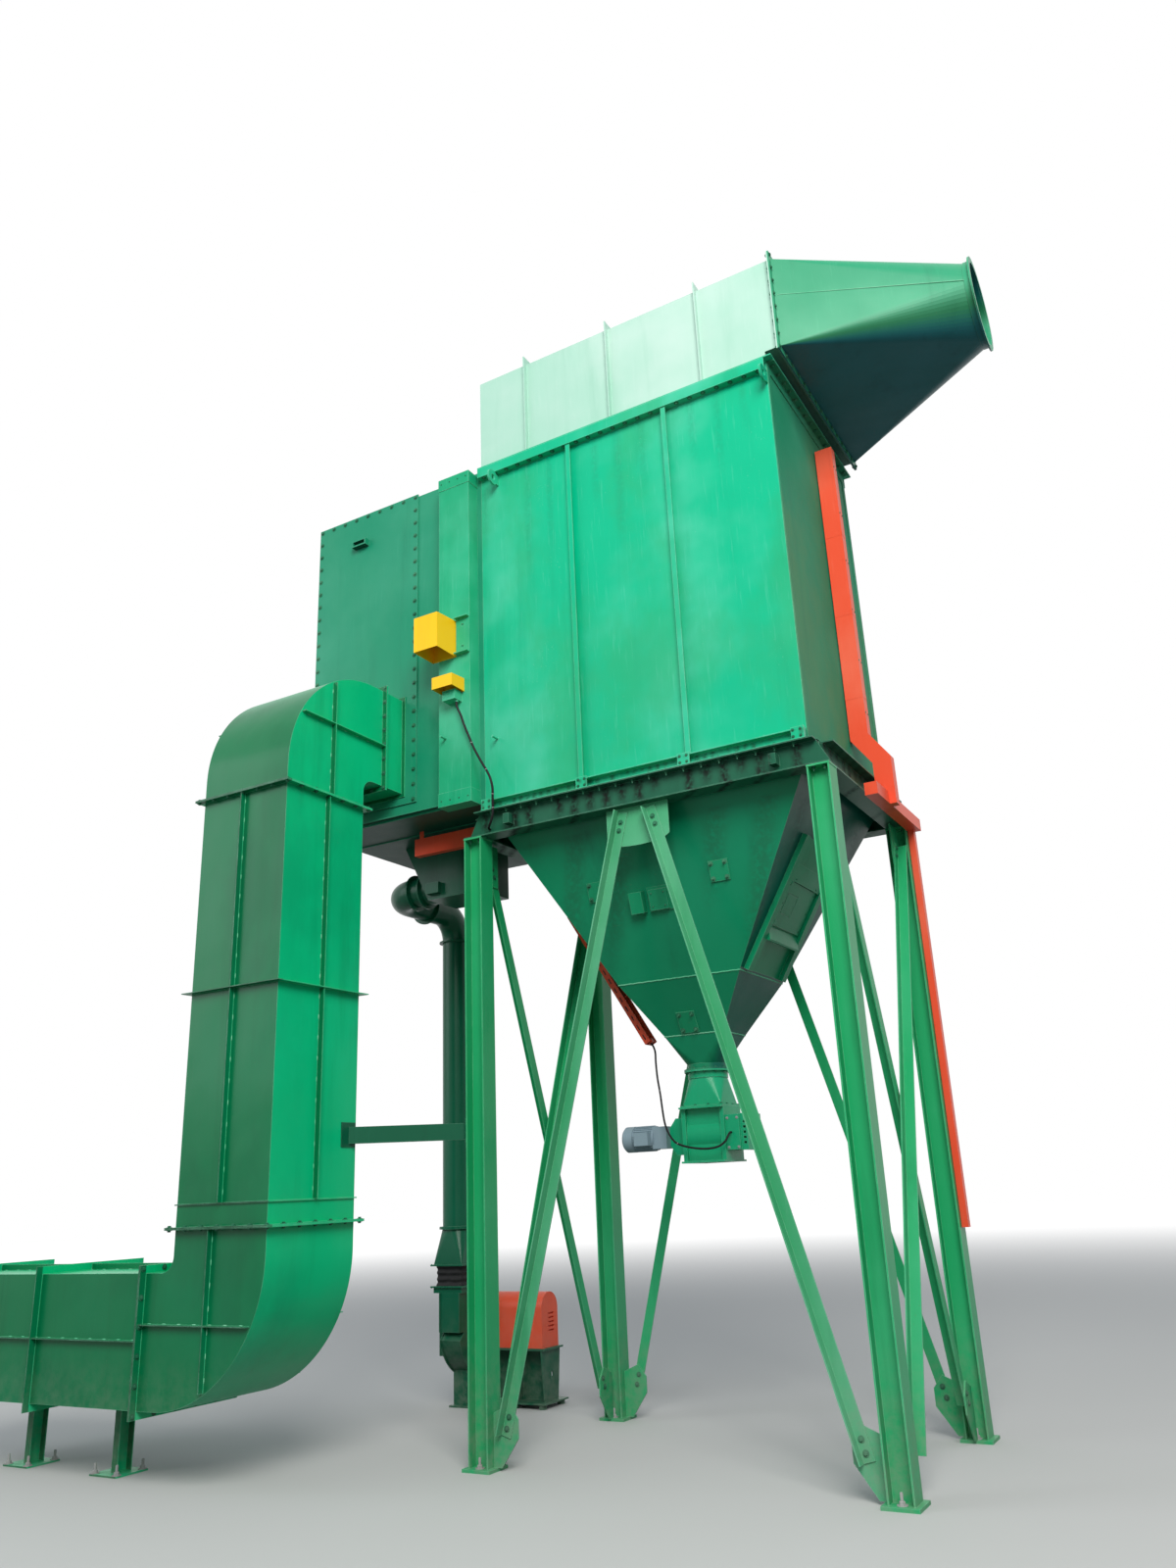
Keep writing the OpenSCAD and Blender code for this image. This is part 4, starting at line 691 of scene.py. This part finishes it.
def house_bolts():
    """Flange bolts along the bottom, under the top lip and on it, at the front, the back and the right."""
    rows = []
    for face, out in WALLS:
        rows += [(wide_row(face + out * 0.045, FRAME_TOP + 0.008, *WIDE_PITCH), UP),
                 (wide_row(face + out * 0.035, HOUSE_TOP - 0.084, 0.11, 0.05), DOWN),
                 (wide_row(face + out * 0.035, HOUSE_TOP + 0.010, 0.11, 0.05), UP)]
    x = WALL_RIGHT + 0.036
    return rows + [(deep_row(x, FRAME_TOP + 0.008, *DEEP_PITCH), UP),
                   (deep_row(x, HOUSE_TOP - 0.008, 0.12, 0.06), DOWN)]


def foot_plate_bolts():
    """Four small bolts on each foot plate of the front and back walls."""
    rows = []
    sixth = (WALL_RIGHT - WALL_LEFT) / 6
    for face, out in WALLS:
        inner = sixth + 0.020 * out
        for x in (WALL_LEFT + 0.045, MID_X - inner, MID_X + inner, WALL_RIGHT - 0.045):
            spots = [(x + a * 0.026, face + out * 0.060, FRAME_TOP + 0.049 + b * 0.023) for a, b in SIGNS]
            rows.append((spots, (0, out, 0)))
    return rows


def beam_nuts():
    """Nuts under the top flange of the ring beams, and four below each column's cap plate."""
    z = FRAME_TOP - 0.009
    rows = [(wide_row(face + out * 0.045, z, *WIDE_PITCH), DOWN) for face, out in WALLS]
    rows.append((deep_row(WALL_RIGHT + 0.04, z, *DEEP_PITCH), DOWN))
    for title in COLUMNS:
        (x, y, _), cap = middle(title), corners(title)[1][2]
        rows.append(([(x + a * 0.036, y + b * 0.045, cap - 0.012) for a, b in SIGNS], DOWN))
    return rows


def anchor_bolts():
    """Two anchor bolts with nuts on each column's base plate, and one at each corner of the duct's leg plates."""
    rows = []
    for title in COLUMNS:
        x, y, _ = middle(title)
        rows.append(([(x, y + a * 0.055, 0.020) for a in (-1, 1)], UP))
    for x in (RUN_HIGH[0] - 0.580, RUN_LOW[0] + 0.580):
        rows.append(([(x + a * 0.105, DUCT_Y + b * 0.105, 0.012) for a, b in SIGNS], UP))
    return rows


def near_ends(start, end, after, before):
    """Places on a line: some lengths after its start, and some before its end."""
    start, end = np.array(start), np.array(end)
    line = (end - start) / np.linalg.norm(end - start)
    return [start + line * k for k in after] + [end - line * k for k in before]


def brace_bolts():
    """Bolts through the gussets where the angles end: heads on the angle, nuts on the plate."""
    rows = []
    inner = corners("column_front_right")[0][0] + 0.030 - MID_X
    head, nut = 0.013 + GAP, 0.005
    for y, out in ((-MID_Y, -1), (MID_Y, 1)):
        for m in (-1, 1):
            flat = near_ends((m * 0.105, 4.130), (m * (inner - 0.095), 0.200), (0.075, 0.135), (0.045, 0.115))
            for way, off in ((out, head), (-out, nut)):
                rows.append(([(MID_X + a, MID_Y + y + way * off, b) for a, b in flat], (0, way, 0)))
    reach = MID_Y - COLUMN_HALF
    for x in (-MID_X, MID_X):
        for m in (-1, 1):
            start, end = (-m * (reach - 0.105), 0.215), (m * (reach - 0.090), FRAME_TOP - 0.354)
            flat = near_ends(start, end, (0.035, 0.100), (0.035, 0.100))
            for way, off in ((m, head), (-m, nut)):
                rows.append(([(MID_X + x + way * off, MID_Y + a, b) for a, b in flat], (way, 0, 0)))
    return rows


def panel_bolts():
    """Bolts round the edge of the chamber's front panel, with the duct's opening left free."""
    low, high = corners("chamber_front_panel")
    taken_low, taken_high = corners("duct_top_elbow")
    x, _, z = middle("chamber_front_panel")
    half = (high - low) / 2 - 0.026
    spots = rim_row((x, WALL_FRONT - 0.012, z), RIGHT, UP, half[0], half[2], FLANGE_PITCH)
    taken = (spots[:, 0] > taken_low[0]) & (spots[:, 0] < taken_high[0]) & (spots[:, 2] < taken_high[2])
    return [(spots[~taken], FRONT)]


def duct_bolts():
    """Heads and nuts on every flange pair of the square duct."""
    rows = []
    inside, beyond = 0.008, 0.008 + GAP
    rim = DUCT_HALF + 0.028
    for z, out in ((RISER_LOW[2] + inside, 1), (RISER_LOW[2] - beyond, -1),
                   (RISER_HIGH[2] - inside, -1), (RISER_HIGH[2] + beyond, 1)):
        rows.append((rim_row((DUCT_X, DUCT_Y, z), RIGHT, BACK, rim, rim, 0.155), (0, 0, out)))
    joint = TOP_BEND_Y + OUTLET_SHARE * (corners("duct_top_elbow")[1][1] - TOP_BEND_Y)
    narrow = DUCT_HALF + 0.021
    for y, out in ((joint, -1), (joint + 0.016, 1)):
        spots = rim_row((DUCT_X, y, TOP_BEND_Z + BEND), RIGHT, UP, narrow, narrow, FLANGE_PITCH)
        rows.append((spots, (0, out, 0)))
    for x, out in ((RUN_HIGH[0] + beyond, 1), (RUN_HIGH[0] - inside, -1)):
        rows.append((rim_row((x, DUCT_Y, RUN_Z), BACK, UP, rim, rim, 0.165), (out, 0, 0)))
    return rows


def inlet_bolts():
    """Heads and nuts round the hood's flange. The round flange keeps its holes free for the next duct."""
    low, high = corners("inlet_transition")
    _, y, z = middle("inlet_transition")
    half = (high - low) / 2 - 0.022
    return [(rim_row((x, y, z), BACK, UP, half[1], half[2], FLANGE_PITCH), way)
            for x, way in ((corners("inlet_hood")[1][0] - 0.010, LEFT), (low[0] + 0.010, RIGHT))]


# Half widths of the hopper and their heights, at the seam between its slopes and at its low end.
SEAM_A, SEAM_B = (corners("hopper_lower")[1] - (MID_X, MID_Y, 0.0))[:2]
SEAM_Z = corners("hopper_upper")[0][2]
LOW_A, LOW_B, LOW_Z = 0.225, 0.200, 2.650
FRONT_UPPER = ("front", SEAM_B, SEAM_Z, MID_Y - COLUMN_HALF, FRAME_TOP)
FRONT_LOWER = ("front", LOW_B, LOW_Z, SEAM_B, SEAM_Z)
RIGHT_UPPER = ("right", SEAM_A, SEAM_Z, MID_X - COLUMN_HALF, FRAME_TOP)


def on_slope(face, out, places):
    """Row on a sloping hopper face, given across it and up along it, at a distance out. Adds the outward way."""
    side, near, near_z, far, far_z = face
    tilt = math.atan2(far - near, far_z - near_z)
    c, s = math.cos(tilt), math.sin(tilt)
    across, up = np.array(places).T
    flat, z = near + out * c + up * s, near_z - out * s + up * c
    if side == "front":
        return np.stack([MID_X + across, MID_Y - flat, z], -1), (0, -c, -s)
    return np.stack([MID_X + flat, MID_Y + across, z], -1), (c, 0, -s)


def hopper_studs():
    """Studs at the corners of the hand plates on the front slopes."""
    plates = [(FRONT_UPPER, -0.570, 0.617, 0.142, 0.142), (FRONT_UPPER, 0.394, 0.614, 0.142, 0.145),
              (FRONT_LOWER, -0.084, 0.017, 0.138, 0.155)]
    rows, edge = [], 0.020
    for face, x, z, wide, tall in plates:
        spots = [(a, b) for a in (x + edge, x + wide - edge) for b in (z + edge, z + tall - edge)]
        rows.append(on_slope(face, 0.010 + GAP, spots))
    return rows


def hopper_screws():
    """Small screws on the raised cover of the front slope and round the access door."""
    cover = [(a, b) for a in (-0.064, 0.032) for b in (0.516, 0.610)]
    door = [(a, b) for a in (-0.232, 0.232) for b in (0.395, 0.535, 0.675)]
    return [on_slope(FRONT_UPPER, 0.036 + GAP, cover), on_slope(RIGHT_UPPER, 0.018 + GAP, door),
            on_slope(RIGHT_UPPER, 0.030 + GAP, [(-0.200, 0.724), (0.200, 0.724)])]


def valve_bolts():
    """Bolts of the hopper collar, the valve's top flange and its left end plate."""
    top, collar = corners("valve_body")[1][2], corners("hopper_lower")[0][2]
    rows = [(round_row((MID_X, MID_Y, collar + z), 0.152, 12, UP), way)
            for z, way in ((0.010, UP), (-0.010 - GAP, DOWN))]
    rows.append((rim_row((MID_X, MID_Y, top + 0.010 + GAP), RIGHT, BACK, 0.147, 0.147, 0.098), UP))
    for radius, count in ((0.128, 8), (0.070, 6)):
        rows.append((round_row((MID_X - 0.160, MID_Y, VALVE_Z), radius, count, RIGHT), LEFT))
    return rows


def guard_bolts():
    """Bright bolts at the corners of the chain guard's front."""
    x, y, z = corners("chain_guard")[0]
    return [([(x + a, y, z + b) for a in (0.014, 0.086) for b in (0.020, 0.212)], FRONT)]


def cover_screws():
    """Screws of the trunk's caps, the cable cover on the right wall and the sleeve's frames."""
    low, high = corners("cable_trunk")
    y = WALL_FRONT - 0.129
    rows = [(along((low[0], y, z), (high[0], y, z), 0.09, 0.03), FRONT)
            for z in (FRAME_TOP + 0.125, HOUSE_TOP - 0.070)]
    levels = np.arange(FRAME_TOP + 0.5, HOUSE_TOP - 0.3, 0.42)
    edges = (0.012, COVER_WIDE - 0.012)
    rows.append(([(COVER_X + COVER_DEEP, COVER_Y + a, z) for z in levels for a in edges], RIGHT))
    low, high = corners("flexible_sleeve")
    x, y, _ = middle("flexible_sleeve")
    half, frame_high = (high[0] - low[0]) / 2 + 0.012, 0.012 + GAP
    for z, way in ((low[2] - frame_high, DOWN), (high[2] + frame_high, UP)):
        rows.append((rim_row((x, y, z), RIGHT, BACK, half, half, 0.10), way))
    return rows


VALVE_Z = middle("valve_body")[2]
COVER_X, COVER_Y = WALL_RIGHT + 0.014 + GAP, MID_Y + 0.090
COVER_DEEP, COVER_WIDE = 0.135, 0.080
BOLT = hex_bolt(0.019, 0.009)
STUD = hex_bolt(0.017, 0.011, 0.014)
SCREW = turned([(0.0065, 0.0), (0.0065, 0.0015), (0.0045, 0.0042), (0.0015, 0.0052)], 8)
FIXINGS = [
    ("housing_bolts", house_bolts(), FASTENER, "housing_green_paint", BOLT),
    ("foot_plate_bolts", foot_plate_bolts(), FASTENER, "housing_green_paint", hex_bolt(0.011, 0.005)),
    ("beam_nuts", beam_nuts(), FASTENER, "green_paint", STUD),
    ("anchor_bolts", anchor_bolts(), ZINC, "bare_steel", hex_bolt(0.030, 0.018, 0.035)),
    ("brace_bolts", brace_bolts(), FASTENER, "green_paint", BOLT),
    ("panel_bolts", panel_bolts(), FASTENER, "duct_green_paint", BOLT),
    ("duct_bolts", duct_bolts(), FASTENER, "duct_green_paint", BOLT),
    ("inlet_bolts", inlet_bolts(), FASTENER, "green_paint", BOLT),
    ("hopper_studs", hopper_studs(), FASTENER, "green_paint", STUD),
    ("hopper_screws", hopper_screws(), FASTENER, "green_paint", SCREW),
    ("valve_bolts", valve_bolts(), FASTENER, "green_paint", hex_bolt(0.014, 0.007)),
    ("guard_bolts", guard_bolts(), ZINC, "bare_steel", hex_bolt(0.010, 0.005)),
    ("cover_screws", cover_screws(), FASTENER, "green_paint", SCREW),
]
for title, rows, finish, slot, shape in FIXINGS:
    piece(title, gathered([repeated(shape, spots, facing(way)) for spots, way in rows]), finish)


# welds

BEAD = turned([(0.0012, -0.017), (0.0034, -0.010), (0.0040, 0.0), (0.0034, 0.010), (0.0012, 0.017)], 6)


def stitched(start, end, shifts):
    """Short beads along a line, at each of a few sideways shifts."""
    line = along(start, end, 0.135, 0.06)
    turn = facing(np.asarray(end, float) - np.asarray(start, float))
    return gathered([repeated(BEAD, line + np.asarray(s), turn) for s in shifts])


def bar_welds():
    """Stitch welds at the foot of the flat bars on the riser, the lying duct and the cheeks of both elbows."""
    forms = []
    x, y, half, side = DUCT_X, DUCT_Y, DUCT_HALF, 0.005
    for sx, sy in ((1, 0), (-1, 0), (0, 1), (0, -1)):
        spot = np.array([x + sx * half, y + sy * half, 0.0])
        shifts = [(sy * side, sx * side, 0), (-sy * side, -sx * side, 0)]
        forms.append(stitched(spot + (0, 0, RISER_LOW[2] + 0.15), spot + (0, 0, RISER_HIGH[2] - 0.01), shifts))
    for sy, sz in ((1, 0), (-1, 0), (0, 1)):
        spot = np.array([0.0, y + sy * half, RUN_Z + sz * half])
        shifts = [(0, sz * side, sy * side), (0, -sz * side, -sy * side)]
        forms.append(stitched(spot + (RUN_LOW[0] + 0.01, 0, 0), spot + (RUN_HIGH[0] - 0.01, 0, 0), shifts))
    # A bead on a cheek ends where it meets the outer sheet: reach is that circle less the bead's own end.
    reach, near, far = BEND + half - 0.02, 0.002, 0.008
    arc_y, arc_z = TOP_BEND_Y, TOP_BEND_Z
    a, b = BEND - 0.040, BEND - 0.080
    tall, wide = arc_z + math.sqrt(reach ** 2 - a ** 2), arc_y - math.sqrt(reach ** 2 - b ** 2)
    for cheek in (x + half, x - half):
        start, end = (cheek, arc_y - a, RISER_HIGH[2] + 0.01), (cheek, arc_y - a, tall)
        forms.append(stitched(start, end, [(0, -far, 0), (0, near, 0)]))
        start, end = (cheek, wide, arc_z + b), (cheek, arc_y, arc_z + b)
        forms.append(stitched(start, end, [(0, 0, -near), (0, 0, far)]))
    arc_x, arc_z = x - BEND, RUN_Z + BEND
    a, b = BEND - 0.070, BEND - 0.100
    deep, wide = arc_z - math.sqrt(reach ** 2 - a ** 2), arc_x + math.sqrt(reach ** 2 - b ** 2)
    for cheek in (y + half, y - half):
        start, end = (arc_x + a, cheek, deep), (arc_x + a, cheek, RISER_LOW[2] - 0.01)
        forms.append(stitched(start, end, [(-near, 0, 0), (far, 0, 0)]))
        start, end = (arc_x - 0.14, cheek, arc_z - b), (wide, cheek, arc_z - b)
        forms.append(stitched(start, end, [(0, 0, -far), (0, 0, near)]))
    return gathered(forms)


piece("bar_welds", bar_welds(), WELD)


def seam_welds():
    """Continuous beads round both seams of the hopper and down the corners of its lower part."""
    forms = []
    section = round_section(0.0045, 6)
    for a, b, z in ((SEAM_A, SEAM_B, SEAM_Z), (LOW_A, LOW_B, LOW_Z)):
        spots = [(MID_X + i * a, MID_Y + j * b, z) for i, j in ((1, 1), (-1, 1), (-1, -1), (1, -1))]
        for start, end in zip(spots, spots[1:] + spots[:1]):
            line = np.linspace(start, end, 40)
            line[:, 2] += 0.0012 * np.sin(np.arange(40) * 2.1)
            forms.append(carried(line, section))
    return gathered(forms)


piece("hopper_seam_welds", seam_welds(), WELD)


def transition_seam():
    """Lapped seam across the front and back triangles of the square to round piece, up to the circle's side."""
    low, high = corners("inlet_transition")
    round_z, radius = middle("inlet_flange")[2], 0.313
    forms = []
    for out, edge in ((-1, low[1] + 0.050), (1, high[1] - 0.050)):
        start = np.array([low[0] + 0.014, edge, low[2] + 0.57 * (high[2] - low[2])])
        end = np.array([high[0] - 0.020, MID_Y + out * radius, round_z])
        line = start + (end - start) * np.linspace(0.01, 0.985, 50)[:, None]
        forms.append(carried(line + (0, out * 0.002, 0), round_section(0.004, 6)))
    return gathered(forms)


piece("transition_seam", transition_seam(), WELD)


# drive, sleeve and covers

def motor_fins():
    """Cooling fins along the motor, and black discs for the holes of its cowl: painted shade in the holes."""
    low, high = corners("gear_motor")
    start, end = low[0] + 0.100, high[0] - 0.118
    count = 32
    fin = block((0.081, -0.0016, 0.0), (0.0885, 0.0016, end - start))
    angles = np.arange(count) * 2 * math.pi / count
    c, s = np.cos(angles), np.sin(angles)
    turns = np.zeros((count, 3, 3))
    turns[:, 0, 2] = 1.0
    turns[:, 1, 0], turns[:, 1, 1] = c, -s
    turns[:, 2, 0], turns[:, 2, 1] = s, c
    body = repeated(fin, np.tile((start, MID_Y, VALVE_Z), (count, 1)), turns)
    centre = (low[0] + 0.0005, MID_Y, VALVE_Z)
    vents = np.concatenate([round_row(centre, r, n, RIGHT) for r, n in ((0.016, 6), (0.030, 12))])
    return body, repeated(turned([(0.0035, 0.0), (0.0035, 0.0012)], 6), vents, facing(LEFT))


FINS, VENTS = motor_fins()
piece("motor_fins", FINS, MOTOR)
piece("motor_vents", VENTS, CABLE)


def sleeve_cloth():
    """Fabric sleeve: a rounded square r(a) carried up the height with three soft folds, outside and inside."""
    low, high = corners("flexible_sleeve")
    mid = middle("flexible_sleeve")
    around, rows, wall = 112, 30, 0.004
    half = (high[0] - low[0]) / 2 - 0.001
    a = np.arange(around) * 2 * math.pi / around
    round_square = (np.abs(np.cos(a)) ** 7 + np.abs(np.sin(a)) ** 7) ** (-1 / 7)
    t = np.linspace(0, 1, rows)
    fold = 0.010 * np.sin(3 * math.pi * t) ** 2 + 0.004 * np.sin(math.pi * t)
    ripple = 0.0025 * np.sin(7 * a)[None, :] * np.sin(5 * math.pi * t)[:, None]
    outer = half * round_square[None, :] - fold[:, None] - 0.0025 + ripple
    height = low[2] + 0.0005 + t * (high[2] - low[2] - 0.001)
    radius = np.concatenate([outer, outer[::-1] - wall])
    level = np.repeat(np.concatenate([height, height[::-1]])[:, None], around, 1)
    points = np.stack([mid[0] + radius * np.cos(a), mid[1] + radius * np.sin(a), level], -1)
    faces = round_grid(2 * rows, around, ring=True)
    return Form(points, faces, [4] * len(faces))


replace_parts(piece("sleeve_cloth", sleeve_cloth(), SLEEVE, 60), "flexible_sleeve")


def tray_slots():
    """Black patches for the slots along the front flange of the tray beside the left slope of the hopper: painted
    shade in the openings.
    """
    tilt = math.atan2(MID_X - COLUMN_HALF - SEAM_A, FRAME_TOP - SEAM_Z)
    up = np.array([-math.sin(tilt), 0.0, math.cos(tilt)])
    out = np.array([-math.cos(tilt), 0.0, -math.sin(tilt)])
    base = np.array([MID_X - SEAM_A, MID_Y - 0.0552, SEAM_Z])
    spots = base + out * 0.167 + up * np.linspace(-0.29, 0.82, 14)[:, None]
    turn = np.stack([out, FRONT, -up], -1)
    return repeated(block((-0.004, 0.0, -0.022), (0.004, 0.0007, 0.022)), spots, turn)


piece("tray_slots", tray_slots(), CABLE)


def tray_joints():
    """Lapped sheet joints of the cable cover on the right wall."""
    lap = 0.0012
    return gathered([block((COVER_X, COVER_Y - lap, FRAME_TOP + z),
                           (COVER_X + COVER_DEEP + lap, COVER_Y + COVER_WIDE + lap, FRAME_TOP + z + 0.030))
                     for z in (0.62, 1.30, 1.98)])


piece("tray_joints", tray_joints(), ORANGE)

free_cable("instrument_cable", INSTRUMENT_ROUTE, 0.018, (1.0, 0.0, 0.0), (0, 0, -1), (0, 1, 0), [28, 44, 58, 66])
free_cable("valve_cable", VALVE_ROUTE, 0.014, (1.0, 1.0, 0.4), (0.514, 0, -0.858), (0, 1, 0), [24, 46])


# floor, sky and lamps

def seen_straight(tree):
    """One for rays of the camera and for what shiny and clear things show, zero for the light on the object."""
    rays = node(tree, "ShaderNodeLightPath").outputs
    shown = maths(tree, "MAXIMUM", rays["Is Glossy Ray"], rays["Is Transmission Ray"])
    return maths(tree, "MAXIMUM", rays["Is Camera Ray"], shown)


def set_stage():
    """Pale floor that keeps the shadow, and a white surround for the camera and glass."""
    mesh = bpy.data.meshes.new("floor")
    mesh.from_pydata([(-60, -60, 0), (60, -60, 0), (60, 60, 0), (-60, 60, 0)], [], [[0, 1, 2, 3]])
    floor = linked("floor", mesh)
    material, ground, shader = new_material("floor_pale")
    seen = seen_straight(ground)
    away = node(ground, "ShaderNodeVectorMath", [(0, own_place(ground))], operation="LENGTH").outputs["Value"]
    faded = times(ground, seen, ramped(ground, away, 9.0, 38.0))
    tone = blended(ground, seen, (0.20, 0.20, 0.19, 1), (0.50, 0.50, 0.49, 1))
    filled(ground, shader, [("Base Color", blended(ground, faded, tone, (0, 0, 0, 1))), ("Roughness", 0.9),
                            ("Emission Color", (1, 1, 1, 1)), ("Emission Strength", faded)])
    mesh.materials.append(material)
    world = bpy.data.worlds.new("sky")
    world.use_nodes = True
    tree = world.node_tree
    tree.nodes.clear()
    seen = seen_straight(tree)
    soft = node(tree, "ShaderNodeBackground", [("Color", (0.84, 0.92, 1.0, 1)), ("Strength", 0.50)])
    white = node(tree, "ShaderNodeBackground", [("Color", (1, 1, 1, 1)), ("Strength", 1.0)])
    mixed = node(tree, "ShaderNodeMixShader", [(0, seen), (1, soft.outputs[0]), (2, white.outputs[0])])
    node(tree, "ShaderNodeOutputWorld", [("Surface", mixed.outputs[0])])
    bpy.context.scene.world = world
    lamp("key", (9.0, -12.0, 13.0), 3300.0, (1.0, 0.98, 0.94))
    lamp("fill", (-12.0, -9.0, 8.0), 600.0, (0.92, 0.96, 1.0))
    bpy.context.scene.view_settings.view_transform = "Standard"


set_stage()
